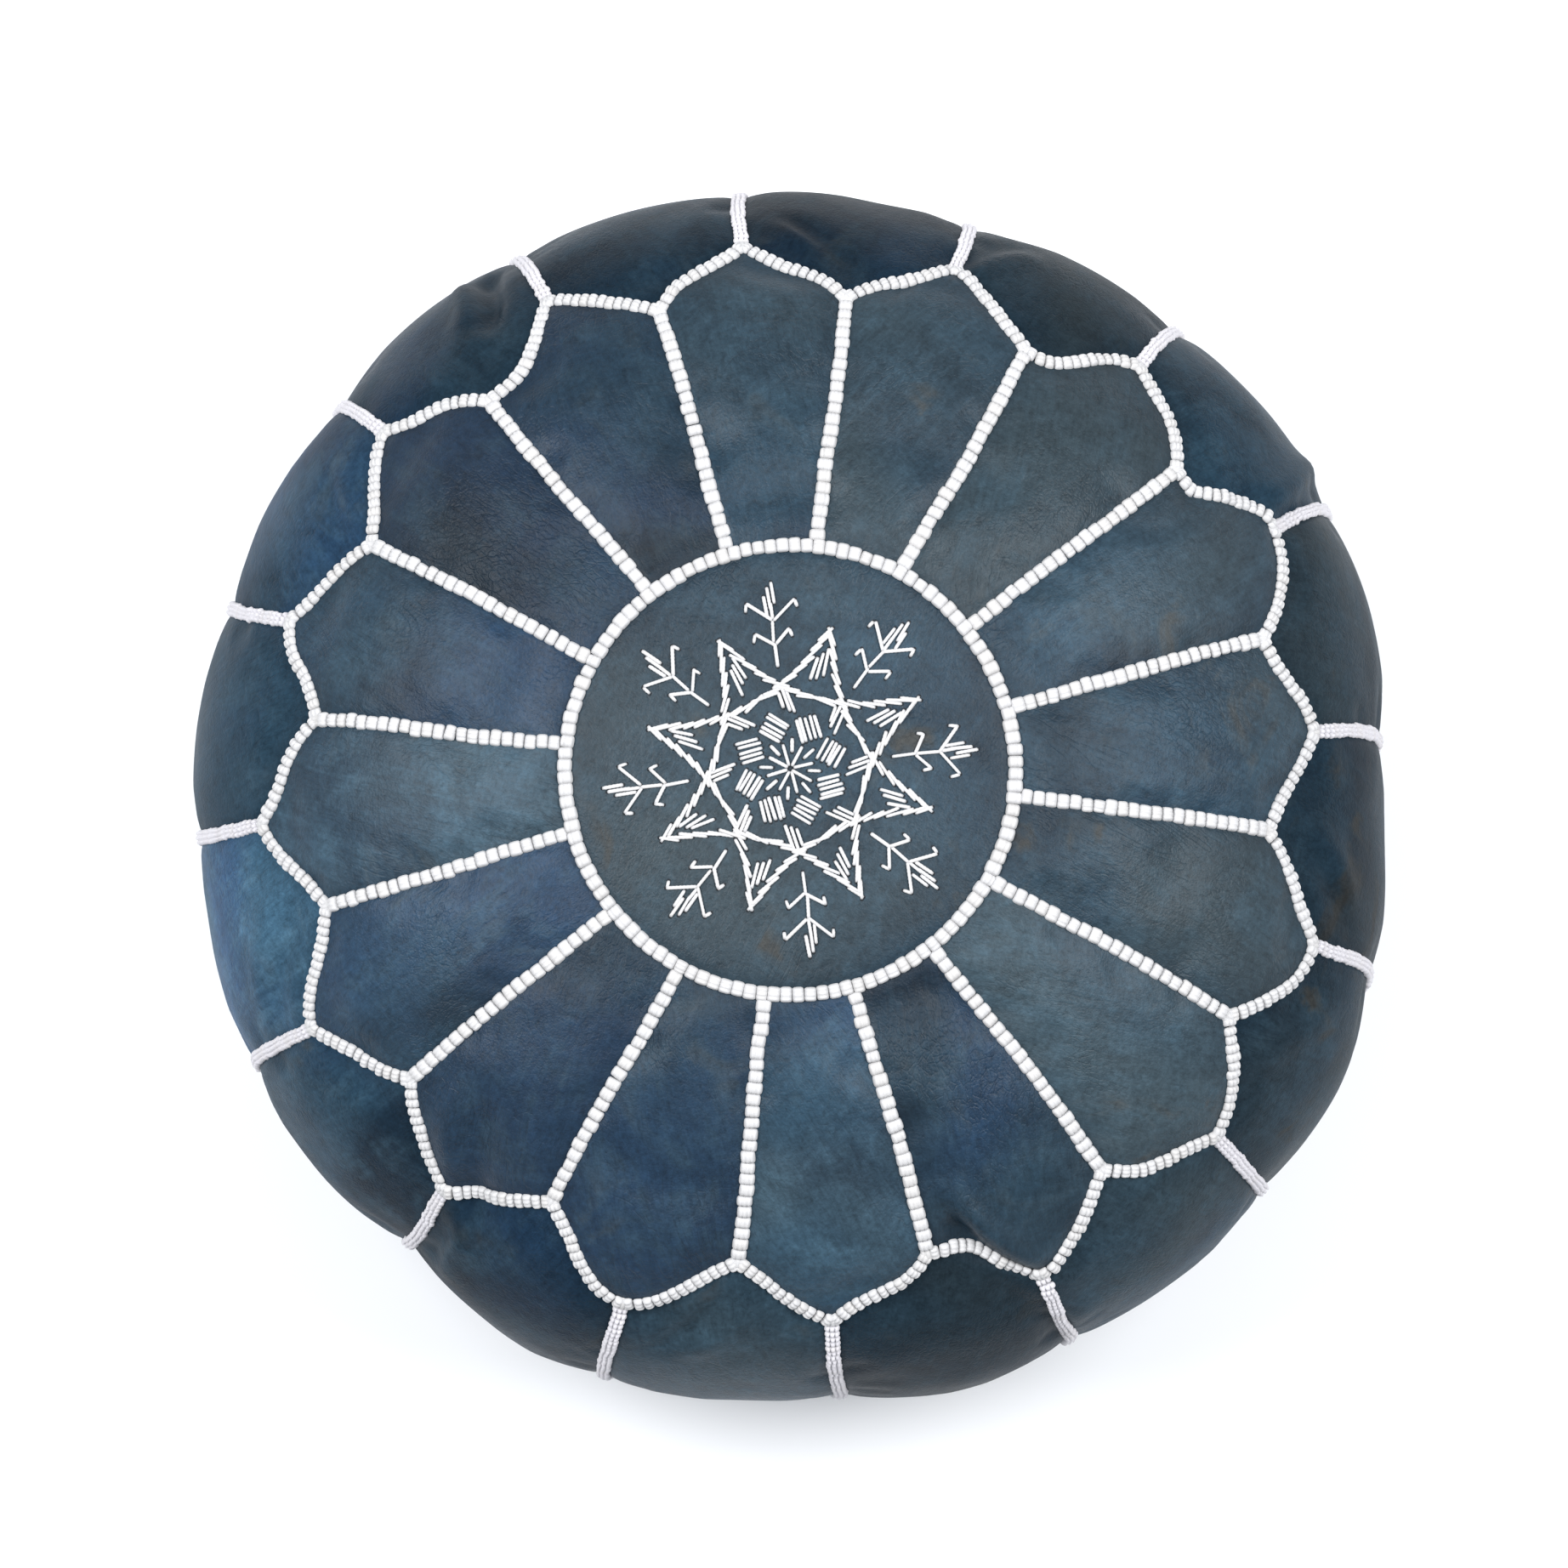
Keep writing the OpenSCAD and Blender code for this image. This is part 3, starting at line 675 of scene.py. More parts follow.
def cut_base_panel(name, side, material):
    """One half disc of the base, with the zip's slit hemmed into its straight edge"""
    across, rows = 97, 34
    near_edge = 20 * MM
    turn = np.linspace(0.0008, math.pi - 0.0008, across)
    edge = BASE_SEAM_R - 0.2 * MM
    arc = np.stack([edge * np.cos(turn), edge * np.sin(turn)], axis=-1)
    slit_end = ZIP_LENGTH / 2 + 7 * MM
    chord_x = np.cos(turn) * edge
    opening = np.clip((slit_end - np.abs(chord_x)) / (3 * MM), 0, 1)
    chord = np.stack([chord_x, 0.15 * MM + (SLIT_HALF - 0.15 * MM) * np.sqrt(opening)], axis=-1)
    t = np.linspace(0, 1, rows)[:, None, None] ** 0.9
    flat = arc[None] * (1 - t) + chord[None] * t
    flat[..., 1] *= side
    if side < 0:
        flat = flat[:, ::-1]
    radius = np.hypot(flat[..., 0], flat[..., 1])
    z = recess_height(radius)
    from_slit = np.abs(flat[..., 1]) - SLIT_HALF
    for i in range(rows):
        for j in range(across):
            x, y = flat[i, j]
            ease = (np.clip(from_slit[i, j] / near_edge, 0, 1)
                    * np.clip((BASE_SEAM_R - radius[i, j]) / near_edge, 0, 1))
            z[i, j] += (soft_noise(x, y, 0.3, 0.06) * 1.6 + soft_noise(x, y, 2.3, 0.02) * 0.5) * MM * ease
    z -= 0.5 * MM * np.exp(-(from_slit / (2.2 * MM)) ** 2) * (np.abs(flat[..., 0]) < slit_end)
    points = np.concatenate([flat, z[..., None]], axis=-1)
    mesh = new_mesh(name, points.reshape(-1, 3), [grid_faces(rows, across)[:, ::-1]])
    add_uv(mesh, "hide", flat.reshape(-1, 2))
    add_value(mesh, "paleness", np.full(rows * across, 0.25 + 0.05 * side))
    add_value(mesh, "greenness", np.full(rows * across, 0.3))
    edge_gap = np.minimum(BASE_SEAM_R - radius, np.abs(from_slit))
    add_value(mesh, "near_seam", np.exp(-edge_gap.ravel() / (6 * MM)))
    finish_hide(new_piece(name + "_leather", mesh, material, (name,)))


# ---- Stitches ----


def pillow(along, across, strands, height, skirt, relief, fullness):
    """A stitched knot: parallel strands that swell in the middle and are pinched at both ends.
    Returns points, faces and a UV pair per point, in lengths scaled to its size"""
    u, v = np.meshgrid(np.linspace(-1, 1, along), np.linspace(-1, 1, across), indexing="ij")
    ends = np.clip(1 - np.abs(u) ** fullness, 0, 1) ** 0.6
    lane = (v + 1) / 2 * strands
    roundness = np.sqrt(np.clip(1 - ((lane % 1) * 2 - 1) ** 2, 0, 1))
    roundness = np.where(np.abs(v) > 0.999, 0, roundness)
    crown = np.clip(1 - np.abs(v) ** 3.0, 0, 1) ** 0.5
    top = height * ends * crown * (1 - relief + relief * roundness)
    pinch = 1 - 0.20 * np.abs(u) ** 4
    points = np.stack([u * (1 - 0.03 * v * v), v * pinch, top], axis=-1).reshape(-1, 3)
    rim = grid_rim(along, across)
    foot = points[rim] * (0.9, 0.9, 0) - (0, 0, skirt)
    count = len(points)
    foot_ids = count + np.arange(len(rim))
    wall = np.stack([rim, np.roll(rim, -1), np.roll(foot_ids, -1), foot_ids], axis=1)
    uv = np.concatenate([np.stack([u, v], axis=-1).reshape(-1, 2), points[rim][:, :2]])
    faces = [grid_faces(along, across)[:, ::-1], wall, foot_ids[None, :]]
    return np.concatenate([points, foot]), faces, uv


def even_places(line, spacing, start=0.0, end=0.0):
    """Evenly spaced places along a line of points, as fractional positions, and their true spacing"""
    steps = np.linalg.norm(np.diff(line, axis=0), axis=1)
    run = np.concatenate([[0], np.cumsum(steps)])
    usable = run[-1] - start - end
    count = max(1, round(usable / spacing))
    places = start + (np.arange(count) + 0.5) * usable / count
    return np.interp(places, run, np.arange(len(line))), usable / count


def smooth_line(line, normals, places):
    """Position, heading and normal at fractional places on the smooth curve through a line's points"""
    i = np.clip(places.astype(int), 0, len(line) - 2)
    t = (places - i)[:, None]
    before, after = np.maximum(i - 1, 0), np.minimum(i + 2, len(line) - 1)
    p0, p1, p2, p3 = line[before], line[i], line[i + 1], line[after]
    position = 0.5 * (2 * p1 + (p2 - p0) * t + (2 * p0 - 5 * p1 + 4 * p2 - p3) * t ** 2
                      + (3 * p1 - p0 - 3 * p2 + p3) * t ** 3)
    heading = unit_rows((p2 - p0) * (1 - t) + (p3 - p1) * t)
    normal = unit_rows(normals[i] * (1 - t) + normals[i + 1] * t)
    return position, heading, normal


class Stitching:
    """Collects stitches of many seams and makes them into one piece"""

    def __init__(self, seed):
        self.points, self.faces, self.uv, self.soil = [], {}, [], []
        self.count = 0
        self.hand = random.Random(seed)

    def add(self, points, faces, uv, soil):
        for face_set in faces:
            self.faces.setdefault(face_set.shape[1], []).append(face_set + self.count)
        self.points.append(points)
        self.uv.append(uv)
        self.soil.append(soil)
        self.count += len(points)

    def row_of_knots(self, line, normals, spacing, width, height, template, start=0.0, end=0.0, fit=1.05):
        """Knots side by side along a seam, each a little different"""
        places, true_spacing = even_places(line, spacing, start, end)
        position, heading, normal = smooth_line(line, normals, places)
        side = unit_rows(np.cross(normal, heading))
        normal = unit_rows(np.cross(heading, side))
        n = len(places)
        wobble = np.array([[self.hand.gauss(0, 1) for _ in range(5)] for _ in range(n)])
        turn = (wobble[:, 0] * 0.05)[:, None]
        along = unit_rows(heading + side * turn)
        across = unit_rows(side - heading * turn)
        half = true_spacing / 2 * fit
        points, faces = place_copies(
            template[0], template[1],
            position + side * (wobble[:, 1] * 0.14 * MM)[:, None] + normal * KNOT_LIFT,
            along * half * (1 + 0.05 * wobble[:, 2:3]),
            across * width / 2 * (1 + 0.05 * wobble[:, 3:4]),
            normal * height * (1 + 0.07 * wobble[:, 4:5]))
        scale = np.array([half, width / 2])
        shift = np.array([[self.hand.random(), self.hand.random()] for _ in range(n)])
        uv = (template[2][None] * scale + shift[:, None]).reshape(-1, 2)
        soil = np.repeat([self.hand.random() for _ in range(n)], len(template[0]))
        self.add(points, faces, uv, soil)

    def knot(self, place, heading, normal, length, width, height, template):
        """One larger knot where seams meet"""
        heading = unit_rows((heading - normal * np.dot(heading, normal))[None])
        side = np.cross(normal, heading[0])[None]
        points, faces = place_copies(template[0], template[1], place[None], heading * length / 2,
                                     side * width / 2, normal[None] * height)
        uv = template[2] * (length / 2, width / 2) + (self.hand.random(), self.hand.random())
        self.add(points, faces, uv, np.full(len(points), self.hand.random()))

    def thread(self, path, normals, width, height):
        """One twisted thread laid along a path, with both ends drawn down through the leather"""
        steps = np.linalg.norm(np.diff(path, axis=0), axis=1)
        run = np.concatenate([[0], np.cumsum(steps)])
        rings = max(6, int(run[-1] / (0.75 * MM)) + 1)
        places = np.interp(np.linspace(0, run[-1], rings), run, np.arange(len(path)))
        position, heading, normal = smooth_line(path, normals, places)
        side = unit_rows(np.cross(normal, heading))
        distance = np.linspace(0, run[-1], rings)
        from_end = np.minimum(distance, run[-1] - distance)
        rise = np.clip(from_end / (1.1 * MM), 0, 1) ** 0.5
        centre = position + normal * ((rise * 1.7 - 0.7) * height * 0.5)[:, None]
        around = np.linspace(0, 2 * math.pi, THREAD_SIDES, endpoint=False)
        twist = distance[:, None] / TWIST_LENGTH * 2 * math.pi + self.hand.random() * 6
        lobe = 1 + 0.10 * np.cos(THREAD_PLIES * (around[None] - twist))
        plump = (0.72 + 0.28 * rise)[:, None] * lobe
        points = (centre[:, None]
                  + side[:, None] * (np.cos(around)[None] * plump * width / 2)[..., None]
                  + normal[:, None] * (np.sin(around)[None] * plump * height / 2)[..., None])
        cap = np.arange(THREAD_SIDES)
        caps = np.stack([cap[::-1], cap + (rings - 1) * THREAD_SIDES])
        uv = np.stack([np.broadcast_to(distance[:, None], plump.shape),
                       np.broadcast_to(around[None] * width / 2, plump.shape)], axis=-1)
        uv = uv.reshape(-1, 2) + (self.hand.random(), self.hand.random())
        self.add(points.reshape(-1, 3), [grid_faces(rings, THREAD_SIDES, wrap=True), caps], uv,
                 np.full(rings * THREAD_SIDES, self.hand.random()))

    def make(self, name, material, node):
        mesh = new_mesh(name, np.concatenate(self.points),
                        [np.concatenate(sets) for _, sets in sorted(self.faces.items())])
        add_uv(mesh, "strand", np.concatenate(self.uv))
        add_value(mesh, "soil", np.concatenate(self.soil))
        new_piece(name, mesh, material, (node,))


# ---- Materials ----


def node(tree, kind, inputs=None, **settings):
    """Adds a shader node, with its inputs given by name or place as values or as sockets to link from"""
    made = tree.nodes.new("ShaderNode" + kind)
    for key, value in settings.items():
        setattr(made, key, value)
    for key, value in (inputs or {}).items():
        if isinstance(value, bpy.types.NodeSocket):
            tree.links.new(value, made.inputs[key])
        else:
            made.inputs[key].default_value = value
    return made


def maths(tree, operation, a, b=0.0, c=0.0):
    return node(tree, "Math", {0: a, 1: b, 2: c}, operation=operation).outputs[0]


def blend(tree, factor, a, b):
    """Mixes two colours"""
    return node(tree, "Mix", {0: factor, 6: a, 7: b}, data_type="RGBA").outputs[2]


def spread(tree, value, low, high, to_low=0.0, to_high=1.0):
    """Stretches a value's range and clamps it"""
    return node(tree, "MapRange", {0: value, 1: low, 2: high, 3: to_low, 4: to_high},
                interpolation_type="SMOOTHSTEP").outputs[0]


def noise_at(tree, vector, scale, detail=3.0, roughness=0.5, distortion=0.0):
    return node(tree, "TexNoise", {"Vector": vector, "Scale": scale, "Detail": detail,
                                   "Roughness": roughness, "Distortion": distortion}).outputs[0]


def scaled(tree, vector, scale, turn=0.0):
    return node(tree, "Mapping", {"Vector": vector, "Rotation": (0, 0, turn), "Scale": scale}).outputs[0]


def effect_group(name, inputs, outputs):
    """A node group with named inputs and outputs: (name, kind, default) for each input"""
    group = bpy.data.node_groups.new(name, "ShaderNodeTree")
    for label, kind, default in inputs:
        socket = group.interface.new_socket(label, in_out="INPUT", socket_type="NodeSocket" + kind)
        if default is not None:
            socket.default_value = default
    for label, kind in outputs:
        group.interface.new_socket(label, in_out="OUTPUT", socket_type="NodeSocket" + kind)
    return group, group.nodes.new("NodeGroupInput").outputs, group.nodes.new("NodeGroupOutput").inputs


def rgba(colour_value):
    return (*colour_value, 1.0)


def dyed_hide_group():
    """Hand-dyed leather: pooled dye, brushed fibres, tan showing through, and a pored, creased grain,
    with painted shade in the creases and beside the seams
    """
    name = "dyed_hide"
    if name in bpy.data.node_groups:
        return bpy.data.node_groups[name]
    tree, given, out = effect_group(
        name,
        [("Place", "Vector", None), ("Paleness", "Float", 0.4), ("Greenness", "Float", 0.3),
         ("Near Seam", "Float", 0.0), ("Pore Scale", "Float", 1000.0),
         *((dye, "Color", None) for dye in ("Main", "Deep", "Pale", "Indigo", "Green", "Tan"))],
        [("Color", "Color"), ("Roughness", "Float"), ("Height", "Float")])
    lift = maths(tree, "MULTIPLY", maths(tree, "ADD", given["Paleness"], given["Greenness"]), 37.0)
    layer = node(tree, "CombineXYZ", {2: lift}).outputs[0]
    place = node(tree, "VectorMath", {0: given["Place"], 1: layer}, operation="ADD").outputs[0]
    # From broad pools of dye down to single fibres
    pools = noise_at(tree, place, 9.0, 3.0, 0.5, 0.8)
    clouds = noise_at(tree, place, 27.0, 5.0, 0.62, 1.2)
    mottle = noise_at(tree, place, 95.0, 6.0, 0.7, 0.6)
    brushed = noise_at(tree, scaled(tree, place, (1.0, 0.16, 1.0), 0.12), 120.0, 5.0, 0.62, 1.3)
    fibres = noise_at(tree, scaled(tree, place, (1.0, 0.14, 1.0), -0.1), 620.0, 4.0, 0.6, 0.8)
    base = blend(tree, spread(tree, pools, 0.34, 0.62), given["Deep"], given["Main"])
    # Bluer and greener patches, paler brushed streaks, and tan where the hide shows through
    tint = maths(tree, "MULTIPLY_ADD", noise_at(tree, place, 6.5, 2.0, 0.5, 0.5), 2.0, -1.0)
    tint = maths(tree, "ADD", given["Greenness"], tint)
    base = blend(tree, maths(tree, "MULTIPLY", spread(tree, tint, 0.3, -0.1), 0.7), base, given["Indigo"])
    base = blend(tree, maths(tree, "MULTIPLY", spread(tree, tint, 0.3, 1.0), 0.9), base, given["Green"])
    lightness = maths(tree, "MULTIPLY_ADD", brushed, 0.36, maths(tree, "MULTIPLY", clouds, 0.72))
    lit = maths(tree, "MULTIPLY", spread(tree, lightness, 0.47, 0.72), 0.40)
    base = blend(tree, lit, base, given["Pale"])
    tan_mask = maths(tree, "MULTIPLY", spread(tree, clouds, 0.50, 0.66),
                     spread(tree, noise_at(tree, place, 12.0, 3.0, 0.55, 1.5), 0.50, 0.66))
    tan_mask = maths(tree, "MULTIPLY", tan_mask, spread(tree, given["Greenness"], 0.0, 0.8, 0.2, 0.9))
    base = blend(tree, tan_mask, base, given["Tan"])
    # Fine mottle, the panel's own paleness, and painted shade beside the seams
    grain = noise_at(tree, place, 420.0, 5.0, 0.7, 0.4)
    fine = maths(tree, "MULTIPLY_ADD", maths(tree, "SUBTRACT", fibres, 0.5), 0.6,
                 maths(tree, "MULTIPLY_ADD", maths(tree, "SUBTRACT", mottle, 0.5), 1.1, 1.0))
    fine = maths(tree, "MULTIPLY_ADD", maths(tree, "SUBTRACT", grain, 0.5), 1.4, fine)
    fine = maths(tree, "MULTIPLY", fine, spread(tree, given["Paleness"], 0.0, 1.4, 0.55, 2.6))
    base = node(tree, "VectorMath", {0: base, "Scale": fine}, operation="SCALE").outputs[0]
    # Painted shade: the leather darkens towards the deep dye beside the seams and beside the base's zip
    # slit
    painted_seam_shade = maths(tree, "MULTIPLY", given["Near Seam"], 0.42)
    base = blend(tree, painted_seam_shade, base, given["Deep"])
    # Pores, a net of fine creases where the hide is worn, and longer wrinkles; the creases and wrinkles
    # are also darkened with painted shade
    pores = node(tree, "TexVoronoi", {"Vector": place, "Scale": given["Pore Scale"]}, feature="SMOOTH_F1")
    stray = node(tree, "TexNoise", {"Vector": place, "Scale": 70.0, "Detail": 3.0}).outputs[1]
    stray = node(tree, "VectorMath", {0: stray, "Scale": 0.010}, operation="SCALE").outputs[0]
    creased = node(tree, "VectorMath", {0: place, 1: stray}, operation="ADD").outputs[0]
    net = node(tree, "TexVoronoi", {"Vector": scaled(tree, creased, (1.0, 0.5, 1.0)), "Scale": 380.0},
               feature="DISTANCE_TO_EDGE").outputs[0]
    lines = spread(tree, net, 0.0, 0.14, 1.0, 0.0)
    worn = spread(tree, noise_at(tree, place, 16.0, 3.0, 0.5, 0.6), 0.48, 0.66)
    lines = maths(tree, "MULTIPLY", lines, worn)
    # Painted shade in the fine creases
    base = blend(tree, maths(tree, "MULTIPLY", lines, 0.12), base, given["Deep"])
    swirl = noise_at(tree, scaled(tree, place, (1.0, 0.4, 1.0), 0.5), 34.0, 4.0, 0.5, 1.6)
    wrinkles = maths(tree, "PINGPONG", maths(tree, "MULTIPLY", swirl, 11.0), 0.5)
    wrinkled = spread(tree, noise_at(tree, place, 13.0, 3.0, 0.5, 1.0), 0.50, 0.66)
    wrinkles = maths(tree, "MULTIPLY", spread(tree, wrinkles, 0.0, 0.22, 1.0, 0.0), wrinkled)
    # Painted shade in the wrinkles
    base = blend(tree, maths(tree, "MULTIPLY", wrinkles, 0.22), base, given["Deep"])
    tree.links.new(base, out["Color"])
    rough = maths(tree, "MULTIPLY_ADD", clouds, 0.20, maths(tree, "MULTIPLY_ADD", fibres, 0.14, 0.29))
    rough = maths(tree, "MULTIPLY_ADD", spread(tree, pools, 0.4, 0.7), -0.07, rough)
    tree.links.new(rough, out["Roughness"])
    height = maths(tree, "MULTIPLY_ADD", pores.outputs[0], 0.4, maths(tree, "MULTIPLY", lines, -0.45))
    height = maths(tree, "MULTIPLY_ADD", wrinkles, -0.4, height)
    height = maths(tree, "MULTIPLY_ADD", fibres, 0.35, height)
    height = maths(tree, "MULTIPLY_ADD", grain, 0.8, height)
    height = maths(tree, "MULTIPLY_ADD", mottle, 0.9, height)
    tree.links.new(maths(tree, "MULTIPLY_ADD", brushed, 0.8, height), out["Height"])
    return tree


def blank_material(name):
    """A new material and its empty node tree"""
    material = bpy.data.materials.new(name)
    material.use_nodes = True
    material.node_tree.nodes.clear()
    return material, material.node_tree


def surfaced(material, inputs):
    """Gives a material its Principled surface and returns it"""
    tree = material.node_tree
    shader = node(tree, "BsdfPrincipled", inputs)
    tree.links.new(shader.outputs[0], node(tree, "OutputMaterial").inputs[0])
    return material


def hide_material(name, shade, gloss):
    """Leather of one batch: shade darkens or lightens its dyes, and gloss is how much it shines"""
    if name in bpy.data.materials:
        return bpy.data.materials[name]
    material, tree = blank_material(name)
    settings = bpy.context.scene.pouf_hide
    given = {"Place": node(tree, "UVMap", uv_map="hide").outputs[0], "Pore Scale": 1 / settings.grain}
    for label in ("Paleness", "Greenness", "Near Seam"):
        attribute = label.lower().replace(" ", "_")
        given[label] = node(tree, "Attribute", attribute_name=attribute).outputs["Fac"]
    for label in ("Main", "Deep", "Pale", "Indigo", "Green", "Tan"):
        given[label] = rgba([channel * shade for channel in getattr(settings, label.lower())])
    hide = node(tree, "Group", given, node_tree=dyed_hide_group()).outputs
    bump = node(tree, "Bump", {"Strength": 0.7, "Distance": 0.45 * MM, "Height": hide["Height"]})
    return surfaced(material, {"Base Color": hide["Color"], "Roughness": hide["Roughness"],
                               "Specular IOR Level": gloss, "Normal": bump.outputs[0]})


def spun_thread_group():
    """Soft spun thread: fine fibres along the strand and faint grey painted shade between them"""
    name = "spun_thread"
    if name in bpy.data.node_groups:
        return bpy.data.node_groups[name]
    tree, given, out = effect_group(
        name, [("Place", "Vector", None), ("Soil", "Float", 0.0), ("Thread", "Color", None)],
        [("Color", "Color"), ("Height", "Float")])
    fibres = noise_at(tree, scaled(tree, given["Place"], (1.0, 6.0, 1.0)), 900.0, 4.0, 0.6, 0.5)
    tufts = noise_at(tree, given["Place"], 700.0, 3.0, 0.6)
    # between is painted shade in the gaps between the fibres; handled is real soil
    between, handled = (0.38, 0.378, 0.39, 1.0), (0.43, 0.395, 0.34, 1.0)
    shaded = blend(tree, spread(tree, fibres, 0.35, 0.6, 0.22, 0.0), given["Thread"], between)
    soiled = maths(tree, "MULTIPLY", spread(tree, given["Soil"], 0.6, 1.0), 0.16)
    tree.links.new(blend(tree, soiled, shaded, handled), out["Color"])
    tree.links.new(maths(tree, "MULTIPLY_ADD", tufts, 0.4, fibres), out["Height"])
    return tree


def thread_material(name, tint=(1.0, 1.0, 1.0)):
    """Spun white thread, with a tint that multiplies its colour"""
    if name in bpy.data.materials:
        return bpy.data.materials[name]
    material, tree = blank_material(name)
    thread = [channel * t for channel, t in zip(bpy.context.scene.pouf_cord.thread, tint)]
    given = {"Place": node(tree, "UVMap", uv_map="strand").outputs[0],
             "Soil": node(tree, "Attribute", attribute_name="soil").outputs["Fac"],
             "Thread": rgba(thread)}
    spun = node(tree, "Group", given, node_tree=spun_thread_group()).outputs
    bump = node(tree, "Bump", {"Strength": 0.6, "Distance": 0.12 * MM, "Height": spun["Height"]})
    return surfaced(material, {"Base Color": spun["Color"], "Roughness": 0.62, "Specular IOR Level": 0.3,
                               "Sheen Weight": 0.25, "Sheen Roughness": 0.4, "Normal": bump.outputs[0]})


def woven_group():
    """Plain weave of warp and weft threads"""
    name = "plain_weave"
    if name in bpy.data.node_groups:
        return bpy.data.node_groups[name]
    tree, given, out = effect_group(
        name, [("Place", "Vector", None), ("Threads per Metre", "Float", 1000.0)],
        [("Shade", "Float"), ("Height", "Float")])
    parts = node(tree, "SeparateXYZ", {0: given["Place"]}).outputs
    turns = maths(tree, "MULTIPLY", given["Threads per Metre"], math.pi)
    waves = [maths(tree, "SINE", maths(tree, "MULTIPLY", parts[axis], turns)) for axis in (0, 1)]
    product = maths(tree, "MULTIPLY", waves[0], waves[1])
    crossing = maths(tree, "ABSOLUTE", product)
    fuzz = noise_at(tree, given["Place"], 1500.0, 3.0)
    tree.links.new(spread(tree, maths(tree, "MULTIPLY_ADD", fuzz, 0.4, crossing), 0.1, 1.0), out["Shade"])
    tree.links.new(maths(tree, "MULTIPLY_ADD", fuzz, 0.5, crossing), out["Height"])
    return tree


def woven_material(name, colour_value, threads_per_metre):
    """Cloth whose weave follows the piece's own place in the frame"""
    if name in bpy.data.materials:
        return bpy.data.materials[name]
    material, tree = blank_material(name)
    place = node(tree, "TexCoord").outputs["Object"]
    weave = node(tree, "Group", {"Place": place, "Threads per Metre": threads_per_metre},
                 node_tree=woven_group()).outputs
    # Painted shade: the weave's hollows between the threads are darker
    painted_hollow_shade, worn = (rgba([c * part for c in colour_value]) for part in (0.55, 0.72))
    base = blend(tree, weave["Shade"], painted_hollow_shade, rgba(colour_value))
    uneven = spread(tree, noise_at(tree, place, 18.0, 4.0, 0.6), 0.35, 0.7, 0.0, 0.3)
    bump = node(tree, "Bump", {"Strength": 0.7, "Distance": 0.15 * MM, "Height": weave["Height"]})
    return surfaced(material, {"Base Color": blend(tree, uneven, base, worn), "Roughness": 0.85,
                               "Sheen Weight": 0.3, "Sheen Roughness": 0.5, "Normal": bump.outputs[0]})


def brass_material():
    """Cast brass, polished by use and dulled in patches"""
    material, tree = blank_material("worn_brass")
    place = node(tree, "TexCoord").outputs["Object"]
    cloud = noise_at(tree, place, 350.0, 5.0, 0.6)
    scratches = noise_at(tree, scaled(tree, place, (1.0, 12.0, 12.0), 0.4), 260.0, 3.0, 0.6)
    brass = bpy.context.scene.pouf_zip.brass
    base = blend(tree, spread(tree, cloud, 0.42, 0.68), rgba(brass), rgba([c * 0.45 for c in brass]))
    rough = maths(tree, "MULTIPLY_ADD", cloud, 0.3, maths(tree, "MULTIPLY_ADD", scratches, 0.15, 0.08))
    bump = node(tree, "Bump", {"Strength": 0.3, "Distance": 0.05 * MM, "Height": scratches})
    return surfaced(material, {"Base Color": base, "Metallic": 1.0, "Roughness": rough,
                               "Normal": bump.outputs[0]})


def needle_hole_material():
    """Painted shade for the inside of a needle hole"""
    material, tree = blank_material("needle_hole")
    torn = noise_at(tree, node(tree, "TexCoord").outputs["Object"], 2500.0, 3.0)
    base = blend(tree, torn, (0.004, 0.006, 0.009, 1.0), (0.014, 0.020, 0.027, 1.0))
    return surfaced(material, {"Base Color": base, "Roughness": 0.9})


def floor_material():
    """Seamless pale paper with a very faint tooth"""
    material, tree = blank_material("pale_floor")
    tone = noise_at(tree, node(tree, "TexCoord").outputs["Object"], 3.0, 3.0)
    floor = bpy.context.scene.pouf_stage.floor
    base = blend(tree, tone, rgba([c * 0.985 for c in floor]), rgba(floor))
    return surfaced(material, {"Base Color": base, "Roughness": 0.9, "Specular IOR Level": 0.1})


# ---- Operators ----


class PoufOperator(bpy.types.Operator):
    """Shared base of the pouf's operators"""

    bl_options = {"REGISTER", "UNDO"}

    @classmethod
    def poll(cls, context):
        return context.scene is not None


